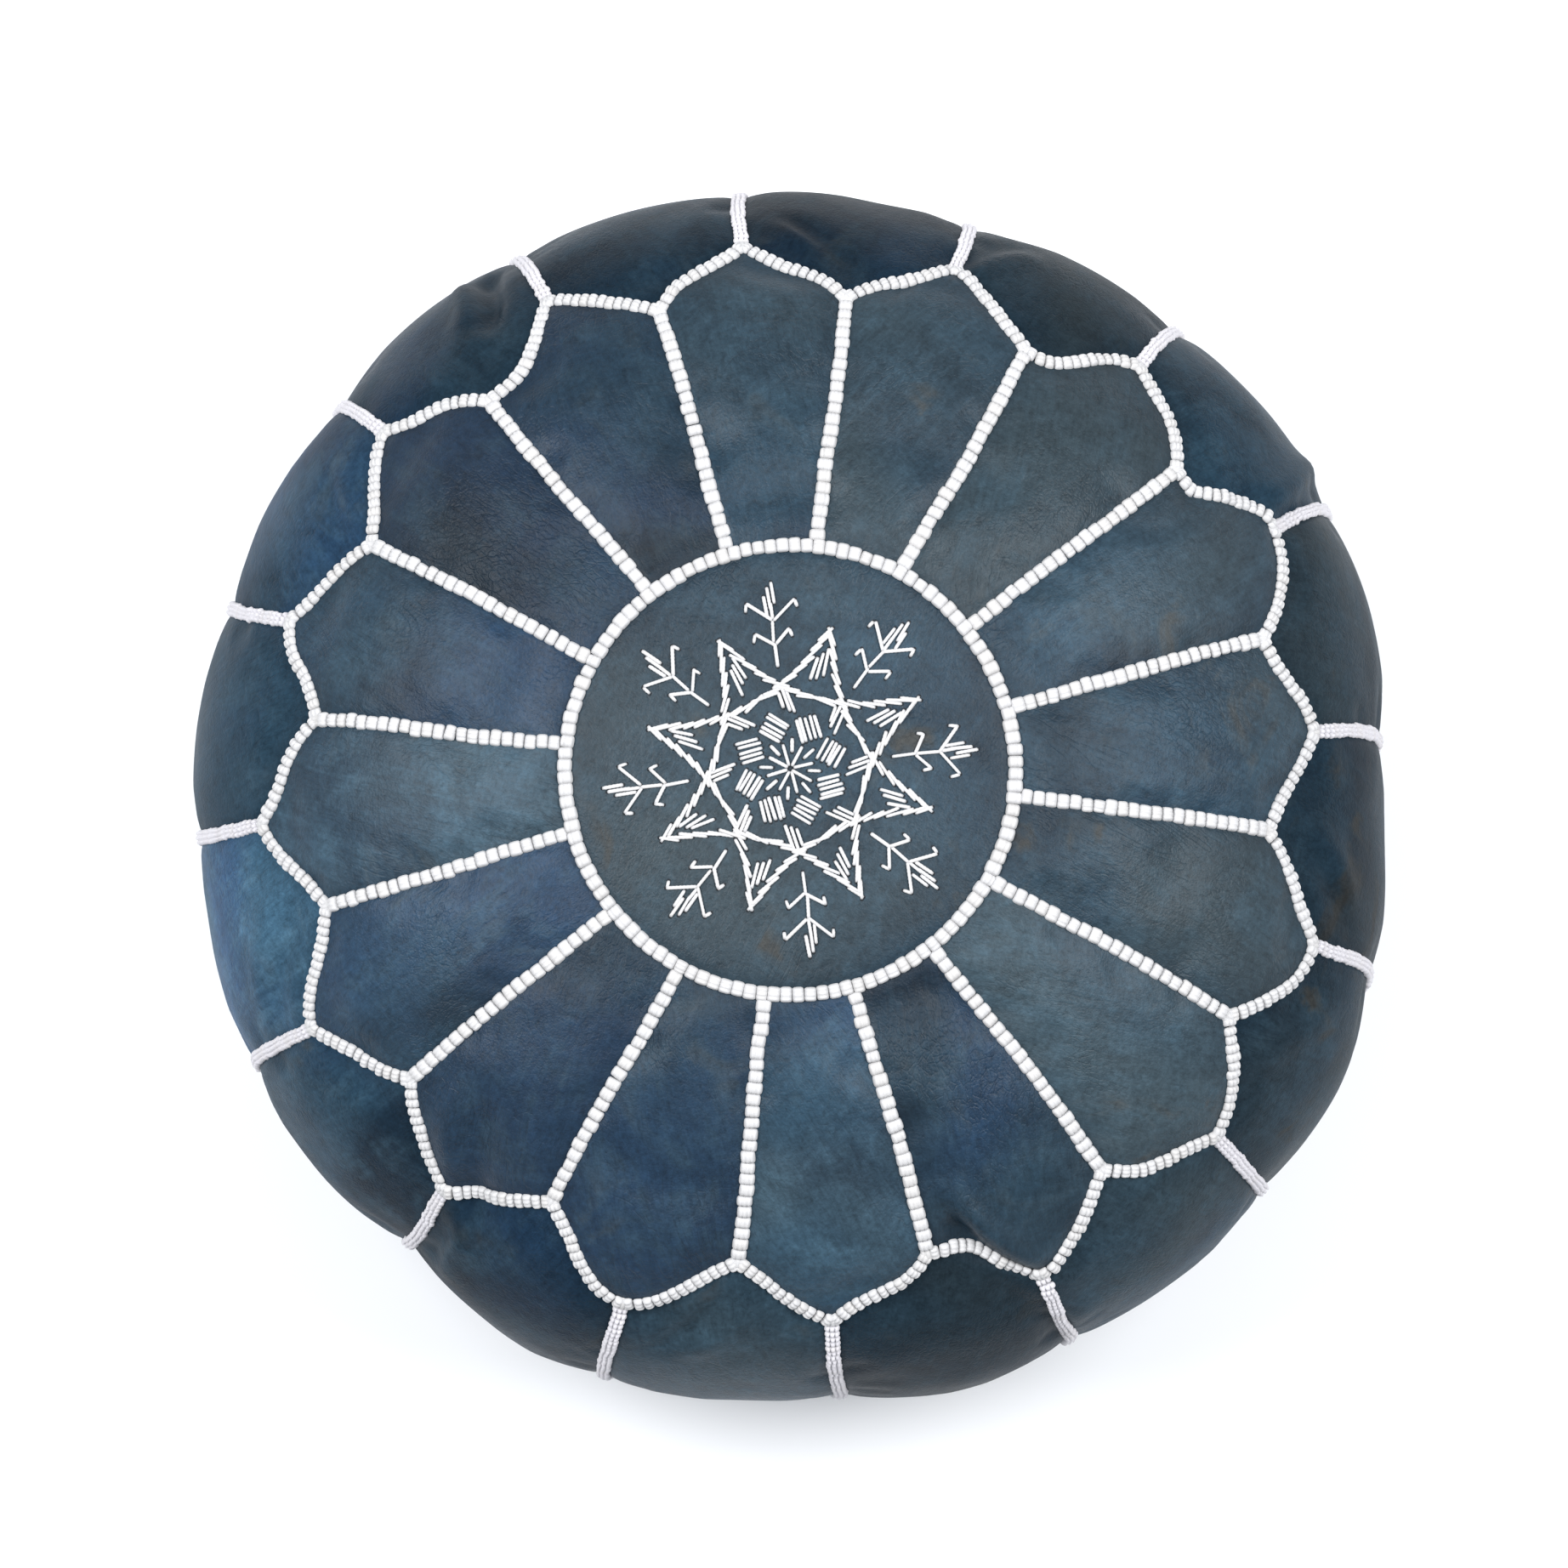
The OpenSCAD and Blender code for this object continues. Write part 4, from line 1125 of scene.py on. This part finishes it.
class POUF_OT_stage(PoufOperator):
    """Lay the pale floor, hang the soft lights and set the camera over the pouf"""

    bl_idname = "pouf.stage"
    bl_label = "Floor, lights and camera"

    def execute(self, context):
        self.lay_floor()
        self.hang_lights(context.scene)
        self.set_camera(context.scene, context.scene.pouf_stage)
        context.scene.view_settings.view_transform = "Standard"
        return {"FINISHED"}

    def lay_floor(self):
        reach, rows = 6.0, 25
        x, y = np.meshgrid(np.linspace(-reach, reach, rows), np.linspace(-reach, reach, rows))
        points = np.stack([x, y, np.full_like(x, -FLOOR_DROP)], axis=-1).reshape(-1, 3)
        mesh = new_mesh("floor", points, [grid_faces(rows, rows)])
        floor = bpy.data.objects.new("floor", mesh)
        mesh.materials.append(floor_material())
        bpy.context.scene.collection.objects.link(floor)

    def hang_lights(self, scene):
        world = bpy.data.worlds.new("soft_room")
        world.use_nodes = True
        background = world.node_tree.nodes["Background"].inputs
        background["Color"].default_value = (0.93, 0.96, 1.0, 1.0)
        background["Strength"].default_value = 0.45
        scene.world = world
        lamps = (("right_softbox", (1.3, 0.25, 2.2), 60.0), ("left_softbox", (-1.3, 0.30, 2.2), 62.0))
        for name, place, power in lamps:
            light = bpy.data.lights.new(name, "AREA")
            light.shape = "DISK"
            light.size = 1.5
            light.energy = power
            lamp = bpy.data.objects.new(name, light)
            lamp.location = place
            aim = Vector((0, 0, BODY_H * 0.7)) - Vector(place)
            lamp.rotation_euler = aim.to_track_quat("-Z", "Y").to_euler()
            scene.collection.objects.link(lamp)

    def set_camera(self, scene, settings):
        data = bpy.data.cameras.new("camera")
        data.lens = settings.lens
        data.sensor_width = 36
        camera = bpy.data.objects.new("camera", data)
        scene.collection.objects.link(camera)
        share_of_view = 0.761
        away = BODY_R / (share_of_view * data.sensor_width / 2 / data.lens)
        back = Vector((0, -math.cos(settings.tilt), math.sin(settings.tilt)))
        target = Vector((-2.6 * MM, 4.5 * MM, BELLY_Z))
        camera.location = target + back * away
        camera.rotation_mode = "QUATERNION"
        camera.rotation_quaternion = (-back).to_track_quat("-Z", "Y")
        data.clip_start, data.clip_end = 0.1, 50
        scene.camera = camera


class POUF_OT_leather(PoufOperator):
    """Cut the medallion, petals, side panels and base from dyed hide, over the stuffed form"""

    bl_idname = "pouf.leather"
    bl_label = "Leather panels"

    def execute(self, context):
        hand = random.Random(5)
        top = hide_material("petal_hide", 0.97, 0.20)
        side = hide_material("side_hide", 1.0, 0.03)
        base = hide_material("base_hide", 0.8, 0.12)
        everything = np.arange(COLS)
        hide_panel("medallion_leather", np.arange(RING_ROW + 1), everything, True, "medallion", top,
                   0.5, (0.43, 0.64))
        petals = ("petal", RING_ROW, BORDER_ROW, 0.5, 28, (PALE_PETALS, GREEN_PETALS), 0.36, top,
                  "petal_leather")
        # The side panels start less pale than the petals (0.22 against 0.36): painted shade for the side
        # band, which turns away from the lights
        sides = ("side_panel", BORDER_ROW, LAST_ROW, 0, 20, (PALE_SIDES, GREEN_SIDES), 0.22, side,
                 "side_leather")
        for kind, first, last, middle, lean, uneven, start, material, slot in (petals, sides):
            rows = np.arange(first, last + 1)
            for i in range(PANELS):
                turn = math.radians(hand.uniform(-lean, lean))
                dye = dyed(hand, *uneven, math.degrees(PHASE + (i + middle) * STEP), start)
                begin = i * COLS_PER_PANEL + round((middle - 0.5) * COLS_PER_PANEL)
                cols = np.arange(begin, begin + COLS_PER_PANEL + 1)
                name = numbered(kind, i + 1)
                hide_panel(name + "_leather", rows, cols, False, name, material, turn, dye)
        cut_base_panel("base_panel_front", -1, base)
        cut_base_panel("base_panel_rear", 1, base)
        return {"FINISHED"}


class POUF_OT_cord_stitches(PoufOperator):
    """Work the thick corded stitch round the medallion, along the petals and along their border"""

    bl_idname = "pouf.cord_stitches"
    bl_label = "Corded stitches"

    def execute(self, context):
        cover = Cover.get()
        settings = context.scene.pouf_cord
        thread = thread_material("spun_white_thread")
        knot = pillow(9, 13, 3, 1.0, 0.35, relief=0.26, fullness=2.6)
        self.round_medallion(cover, settings, knot, thread)
        self.along_petals(cover, settings, knot, thread)
        self.along_border(cover, settings, knot, thread)
        return {"FINISHED"}

    def round_medallion(self, cover, settings, knot, thread):
        cols = np.arange(COLS + 1) % COLS
        line, normals = cover.seam_line(np.full(len(cols), RING_ROW), cols, (1, 0))
        stitching = Stitching(21)
        stitching.row_of_knots(line, normals, settings.bead_l, settings.bead_w, settings.bead_h, knot)
        stitching.make("medallion_cord", thread, "medallion_cord_stitch")

    def along_petals(self, cover, settings, knot, thread):
        stitching = Stitching(22)
        rows = np.arange(RING_ROW, BORDER_ROW + 1)
        for i in range(PANELS):
            col = i * COLS_PER_PANEL
            line, normals = cover.seam_line(rows, np.full(len(rows), col), (0, 1))
            stitching.row_of_knots(line, normals, settings.bead_l, settings.bead_w, settings.bead_h, knot,
                                   start=settings.bead_w * 0.42, end=settings.bead_w * 0.35)
        stitching.make("petal_seam_cords", thread, "petal_seam_cord_stitch")

    def along_border(self, cover, settings, knot, thread):
        stitching = Stitching(23)
        half = COLS_PER_PANEL // 2
        width = settings.bead_w * 0.98
        for i in range(2 * PANELS):
            cols = np.arange(i * half, (i + 1) * half + 1) % COLS
            line, normals = cover.seam_line(np.full(len(cols), BORDER_ROW), cols, (1, 0))
            stitching.row_of_knots(line, normals, settings.border_l, width, settings.bead_h, knot,
                                   start=0.8 * MM, end=0.8 * MM)
            outward = cover.points[BORDER_ROW + 1, cols[0]] - cover.points[BORDER_ROW, cols[0]]
            stitching.knot(line[0], outward, normals[0], settings.bead_w * 1.1, settings.bead_w * 1.05,
                           settings.bead_h * 1.15, knot)
        stitching.make("petal_border_cord", thread, "petal_border_cord_stitch")


class POUF_OT_flat_stitches(PoufOperator):
    """Work the flat three-row stitch down the side seams, and the overcast stitch round the base"""

    bl_idname = "pouf.flat_stitches"
    bl_label = "Side and base stitches"

    def execute(self, context):
        cover = Cover.get()
        settings = context.scene.pouf_cord
        # The side seams' thread is the same white thread brightened by this tint: painted light for the
        # sides, which the lights reach less than the top
        thread = thread_material("spun_side_thread", (1.12, 1.10, 1.15))
        self.down_sides(cover, settings, thread)
        self.round_base(thread)
        return {"FINISHED"}

    def down_sides(self, cover, settings, thread):
        stitching = Stitching(31)
        half = COLS_PER_PANEL // 2
        knot = pillow(9, 19, 3, 1.0, 0.4, relief=0.65, fullness=1.9)
        for i in range(PANELS):
            col = i * COLS_PER_PANEL + half
            rows = np.arange(BORDER_ROW, LAST_ROW + 1)
            clear_of_floor = cover.points[rows, col, 2] > 6 * MM
            rows = rows[clear_of_floor]
            line, normals = cover.seam_line(rows, np.full(len(rows), col), (0, 1))
            stitching.row_of_knots(line, normals, settings.flat_l, settings.flat_w, 2.1 * MM, knot,
                                   start=settings.bead_w * 0.4, fit=0.94)
        stitching.make("side_seam_stitching", thread, "side_seam_flat_stitch")

    def round_base(self, thread):
        stitching = Stitching(32)
        count = 192
        lean = 1.8 * MM / BASE_SEAM_R
        inner, outer = BASE_SEAM_R - 2.6 * MM, BASE_SEAM_R + 2.4 * MM
        for i in range(count):
            path = []
            for t in THREAD_PLACES:
                r = inner + (outer - inner) * t
                a = 2 * math.pi * i / count + lean * (2 * t - 1)
                path.append((r * math.cos(a), r * math.sin(a), float(recess_height(r)) - 0.1 * MM))
            stitching.thread(np.array(path), np.tile(DOWN, (len(path), 1)), 1.2 * MM, 0.8 * MM)
        stitching.make("base_seam_stitching", thread, "base_seam_stitches")


class POUF_OT_embroidery(PoufOperator):
    """Embroider the star, the rosette inside it and the fronds round it"""

    bl_idname = "pouf.embroidery"
    bl_label = "Embroidery"

    def execute(self, context):
        self.cover = Cover.get()
        self.settings = context.scene.pouf_embroidery
        self.holes = []
        thread = thread_material("spun_white_thread")
        for name, work in (("star", self.star), ("rosette", self.rosette), ("frond", self.fronds)):
            self.stitching = Stitching(self.settings.seed + len(name))
            work()
            self.stitching.make(name + "_threads", thread, name + "_embroidery")
        self.needle_holes()
        return {"FINISHED"}

    def stitch(self, start, end, turn, layer=0):
        """One hand stitch between two points, given from above and then turned about the middle"""
        hand = self.stitching.hand
        c, s = math.cos(turn), math.sin(turn)
        stray = self.settings.unevenness * 0.6
        start, end = (np.array([x * c - y * s, x * s + y * c]) + [hand.gauss(0, stray) for _ in range(2)]
                      for x, y in (start, end))
        path, normals = self.cover.on_medallion(start + (end - start) * np.linspace(0, 1, 6)[:, None])
        path = path + normals * (THREAD_LIFT + layer * CROSSING_LIFT)
        width = self.settings.thread_w * hand.uniform(0.9, 1.1)
        self.stitching.thread(path, normals, width, self.settings.thread_h)
        self.holes += [start, end]

    def star(self):
        """Eight lines of slanted stem stitches, each bowed in past a star point, crossing at the notches,
        and three hatching stitches in each point"""
        tip = STAR_R * np.array([math.cos(STAR_STEP), math.sin(STAR_STEP)])
        notch = STAR_NOTCH_R * np.array([math.cos(STAR_STEP / 2), math.sin(STAR_STEP / 2)])
        bow = (tip[0] - notch[0]) / (tip[1] ** 2 - notch[1] ** 2)
        hand = self.stitching.hand
        stitches, reach = 17, tip[1]
        for i in range(STAR_POINTS):
            turn = math.radians(29) + i * STAR_STEP
            for k in range(stitches):
                middle = reach * (2 * (k + 0.5) / stitches - 1)
                half = 6.2 * MM * hand.uniform(0.88, 1.12)
                lean = 1.2 * MM * hand.uniform(0.8, 1.2)
                ends = []
                for sign in (-1, 1):
                    y = np.clip(middle + sign * half * 0.92, -reach, reach)
                    x = notch[0] + bow * (y * y - notch[1] ** 2) - sign * lean * np.sign(middle + 1e-9)
                    ends.append((x, y))
                crossing = 0.6 * (i % 2) * (abs(middle) < 0.45 * reach)
                self.stitch(*ends, turn, layer=0.5 * (k % 2) + crossing)
            for k in range(3):
                outer = STAR_R * 0.84 - k * 2.2 * MM
                inner = outer - hand.uniform(9.5, 11.5) * MM
                self.stitch((outer, (k - 1) * 1.7 * MM), (inner, (k - 1) * 2.3 * MM), turn)

    def rosette(self):
        """Long and short spokes in the middle, a square of five stitches past each, and three fan
        stitches that run in from each of the star's notches"""
        hand = self.stitching.hand
        heading = math.radians(40)
        along = np.array([math.cos(heading), math.sin(heading)]) * 5.0 * MM
        across = np.array([-math.sin(heading), math.cos(heading)]) * 2.0 * MM
        for i in range(STAR_POINTS):
            spoke, dash, square, notch = np.radians((16, 39, 21, 6.5)) + i * STAR_STEP
            self.stitch((1.2 * MM, 0), (10.2 * MM, 0), spoke, layer=0.3 * (i % 3))
            self.stitch((7.2 * MM, 0), (13.0 * MM, 0.3 * MM), dash)
            for k in range(-2, 3):
                middle = np.array([18.3 * MM, 0]) + across * k
                ragged = hand.uniform(-0.4, 0.4) / 9
                self.stitch(middle - along * (1 + ragged), middle + along * (1 - ragged), square)
            for k in (-1, 0, 1):
                self.stitch((STAR_NOTCH_R * (0.98 - 0.04 * k), k * 1.5 * MM),
                            ((24.0 + k * 1.2) * MM, (k * 2.3 - 2.6) * MM), notch, layer=0.5 * (k + 1))

    def fronds(self):
        """A stem with two pairs of hooked leaves and a feathered end, outside each point of the star"""
        hand = self.stitching.hand
        stem = [(43 * MM, 0), (53 * MM, 0.4 * MM), (63 * MM, 0), (70 * MM, 0.3 * MM)]
        for i in range(STAR_POINTS):
            turn = math.radians(6.8) + i * STAR_STEP
            for start, end in zip(stem[:-1], stem[1:]):
                self.stitch(start, end, turn)
            for root, reach in ((52 * MM, 9.5 * MM), (62.5 * MM, 13 * MM)):
                for side in (-1, 1):
                    lean = math.radians(hand.uniform(46, 58)) * side
                    tip = np.array([root, 0]) + reach * np.array([math.cos(lean), math.sin(lean)])
                    self.stitch((root, 0.2 * MM * side), tip, turn, layer=0.3)
                    hook = tip + np.array([-3.4 * MM, hand.uniform(0.2, 1.0) * MM * side])
                    self.stitch(tip, hook, turn)
            feather = ((-1.6, 69.5, 79.0), (0.2, 67.0, 76.8), (2.0, 64.5, 73.5), (-3.3, 66.5, 75.0))
            for off, start, end in feather[:hand.choice((3, 3, 4))]:
                self.stitch((start * MM, off * MM), (end * MM, (off + 0.4) * MM), turn)

    def needle_holes(self):
        """Shallow pits where the thread goes through the leather, darkened with painted shade"""
        sides = 8
        around = np.linspace(0, 2 * math.pi, sides, endpoint=False)
        rim = np.stack([np.cos(around), np.sin(around), np.zeros(sides)], axis=-1)
        template = np.concatenate([rim, rim * (1, 1, 0) - (0, 0, 0.5), [[0, 0, -0.15]]])
        here = np.arange(sides)
        following = (here + 1) % sides
        fan = np.stack([here, following, np.full(sides, 2 * sides)], axis=1)
        wall = np.stack([here, here + sides, following + sides, following], axis=1)
        bottom = here[None, ::-1] + sides
        position, normal = self.cover.on_medallion(np.array(self.holes))
        x_way = unit_rows(np.cross(np.broadcast_to((0.0, 1.0, 0.0), normal.shape), normal))
        y_way = np.cross(normal, x_way)
        size = 0.85 * MM
        mesh = new_mesh("needle_holes", *place_copies(template, [fan, wall, bottom],
                                                      position + normal * 0.1 * MM,
                                                      x_way * size, y_way * size, normal * size))
        new_piece("needle_holes", mesh, needle_hole_material())


class POUF_OT_zip(PoufOperator):
    """Fit the zip in the base: woven tapes, brass teeth, stops, slider, tab and topstitching"""

    bl_idname = "pouf.zip"
    bl_label = "Zip"

    def execute(self, context):
        tape = woven_material("zip_tape_weave", context.scene.pouf_zip.tape, 1600.0)
        for end in ("front", "rear"):
            self.weave_tape("zip_tape_" + end, tape)
        brass = brass_material()
        for part in ("teeth_front", "teeth_rear", "top_stops", "bottom_stop", "slider", "pull_tab"):
            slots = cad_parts["zip_" + part].data.materials
            slots.clear()
            slots.append(brass)
        self.topstitch()
        return {"FINISHED"}

    def weave_tape(self, node_name, material):
        """A ribbed tape with a corded inner edge"""
        low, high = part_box(node_name)
        rows, across = 146, 17
        x = np.linspace(low.x, high.x, rows)
        y = np.linspace(low.y, high.y, across)
        gx, gy = np.meshgrid(x, y, indexing="ij")
        inner = high.y if node_name.endswith("front") else low.y
        cord = 0.28 * MM * np.exp(-((gy - inner) / (1.2 * MM)) ** 2)
        rib = 0.05 * MM * np.cos(gy / (1.1 * MM) * 2 * math.pi)
        half = 0.32 * MM + rib + cord * 0.3
        top, under = (np.stack([gx, gy, (low.z + high.z) / 2 + side * half], axis=-1).reshape(-1, 3)
                      for side in (1, -1))
        faces = grid_faces(rows, across)
        count = rows * across
        rim = grid_rim(rows, across)
        wall = np.stack([rim, np.roll(rim, -1), np.roll(rim, -1) + count, rim + count], axis=1)
        mesh = new_mesh(node_name + "_weave", np.concatenate([top, under]),
                        [np.concatenate([faces[:, ::-1], faces + count, wall])])
        new_piece(node_name + "_weave", mesh, material, (node_name,))

    def topstitch(self):
        stitching = Stitching(41)
        low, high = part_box("zip_topstitch")
        stitch_l, pitch = 3.4 * MM, 4.4 * MM
        for side in (-1, 1):
            y = side * (SLIT_HALF + 3 * MM)
            x = low.x
            while x < high.x - 3 * MM:
                path = np.array([(x + stitch_l * t, y, RECESS_Z - 0.25 * MM) for t in THREAD_PLACES])
                stitching.thread(path, np.tile(DOWN, (len(path), 1)), 0.8 * MM, 0.6 * MM)
                x += pitch
        # The zip's topstitching reuses the brightened side thread with its painted light
        stitching.make("zip_topstitching", thread_material("spun_side_thread"), "zip_topstitch")


class POUF_OT_stuffing(PoufOperator):
    """Make the cotton liner and the lumpy stuffing inside it"""

    bl_idname = "pouf.stuffing"
    bl_label = "Liner and stuffing"

    def execute(self, context):
        cotton = woven_material("plain_cotton", (0.62, 0.57, 0.46), 900.0)
        wadding = woven_material("stuffing_scraps", (0.66, 0.63, 0.55), 350.0)
        points = Cover.get().points
        belly = int(np.argmax(np.hypot(points[..., 0], points[..., 1]).mean(1)))
        cloth = cotton, "liner_cotton", 7 * MM, 0.3 * MM
        self.bag("liner_top_bag", "liner_top", 0, belly, *cloth)
        self.bag("liner_bottom_bag", "liner_bottom", belly, LAST_ROW, *cloth)
        self.bag("stuffing", "filling", 0, LAST_ROW, wadding, "wadding", 9 * MM, 1.2 * MM)
        return {"FINISHED"}

    def bag(self, name, node_name, first, last, material, slot, inset, lump):
        """A slightly lumpy bag that lies just inside the cover, from one of its rows to another. It is
        closed at the top if it starts there, and over the base's raised middle if it ends at the last"""
        soft = Cover.get().points.copy()
        for _ in range(6):
            soft[1:-1] = (np.roll(soft, 1, axis=1)[1:-1] + np.roll(soft, -1, axis=1)[1:-1]
                          + soft[:-2] + soft[2:]) / 4
        soft -= grid_normals(soft) * inset
        floor_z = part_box(node_name)[0].z + 0.5 * MM
        rows = [row for row in range(first, last, 2) if row == first or soft[row, :, 2].min() > floor_z]
        cols = np.arange(0, COLS, 2)
        nearly_shut = 0.004
        points = soft[np.ix_(rows, cols)]
        if first == 0:
            points[0] = soft[0, 0] + (points[1] - soft[0, 0]) * nearly_shut
        if last == LAST_ROW:
            rim = points[-1] * (1, 1, 0)
            closings = []
            for share in (*np.linspace(0.97, 0.72, 9), 0.5, 0.25, nearly_shut):
                over_base = recess_height(np.hypot(rim[:, 0], rim[:, 1]) * share)[:, None] * (0, 0, 1.45)
                closings.append(rim * share + over_base + (0, 0, floor_z))
            points = np.concatenate([points, np.array(closings)])
        for i, j in np.ndindex(points.shape[:2]):
            x, y, z = points[i, j]
            points[i, j] *= 1 - abs(soft_noise(x, y, z, 0.05)) * lump / BODY_R
        faces = grid_faces(len(points), len(cols), wrap=True)[:, ::-1]
        mesh = new_mesh(name, points.reshape(-1, 3), [faces])
        piece = new_piece(name, mesh, material, (node_name,))
        if node_name != "filling":
            cloth = piece.modifiers.new("thickness", "SOLIDIFY")
            cloth.thickness = 0.7 * MM
            cloth.offset = -1


class POUF_PT_panel(bpy.types.Panel):
    """Sidebar panel that lists the steps in the order they are worked"""

    bl_idname = "POUF_PT_panel"
    bl_label = "Leather pouf"
    bl_space_type = "VIEW_3D"
    bl_region_type = "UI"
    bl_category = "Pouf"

    def draw(self, context):
        layout = self.layout
        for operator in OPERATORS:
            layout.operator(operator.bl_idname)
        for attribute, group in SETTINGS:
            box = layout.box()
            for key in group.__annotations__:
                box.prop(getattr(context.scene, attribute), key)


OPERATORS = (POUF_OT_stage, POUF_OT_leather, POUF_OT_cord_stitches, POUF_OT_flat_stitches,
             POUF_OT_embroidery, POUF_OT_zip, POUF_OT_stuffing)
SETTINGS = (("pouf_hide", PoufHideSettings), ("pouf_cord", PoufCordSettings),
            ("pouf_embroidery", PoufEmbroiderySettings), ("pouf_zip", PoufZipSettings),
            ("pouf_stage", PoufStageSettings))


def register():
    for attribute, group in SETTINGS:
        bpy.utils.register_class(group)
        setattr(bpy.types.Scene, attribute, PointerProperty(type=group))
    for operator in OPERATORS:
        bpy.utils.register_class(operator)
    bpy.utils.register_class(POUF_PT_panel)


def unregister():
    bpy.utils.unregister_class(POUF_PT_panel)
    for operator in reversed(OPERATORS):
        bpy.utils.unregister_class(operator)
    for attribute, group in reversed(SETTINGS):
        delattr(bpy.types.Scene, attribute)
        bpy.utils.unregister_class(group)


def main():
    register()
    bpy.ops.pouf.stage()
    bpy.ops.pouf.leather()
    bpy.ops.pouf.cord_stitches()
    bpy.ops.pouf.flat_stitches()
    bpy.ops.pouf.embroidery()
    bpy.ops.pouf.zip()
    bpy.ops.pouf.stuffing()
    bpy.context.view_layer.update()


if __name__ == "__main__":
    main()
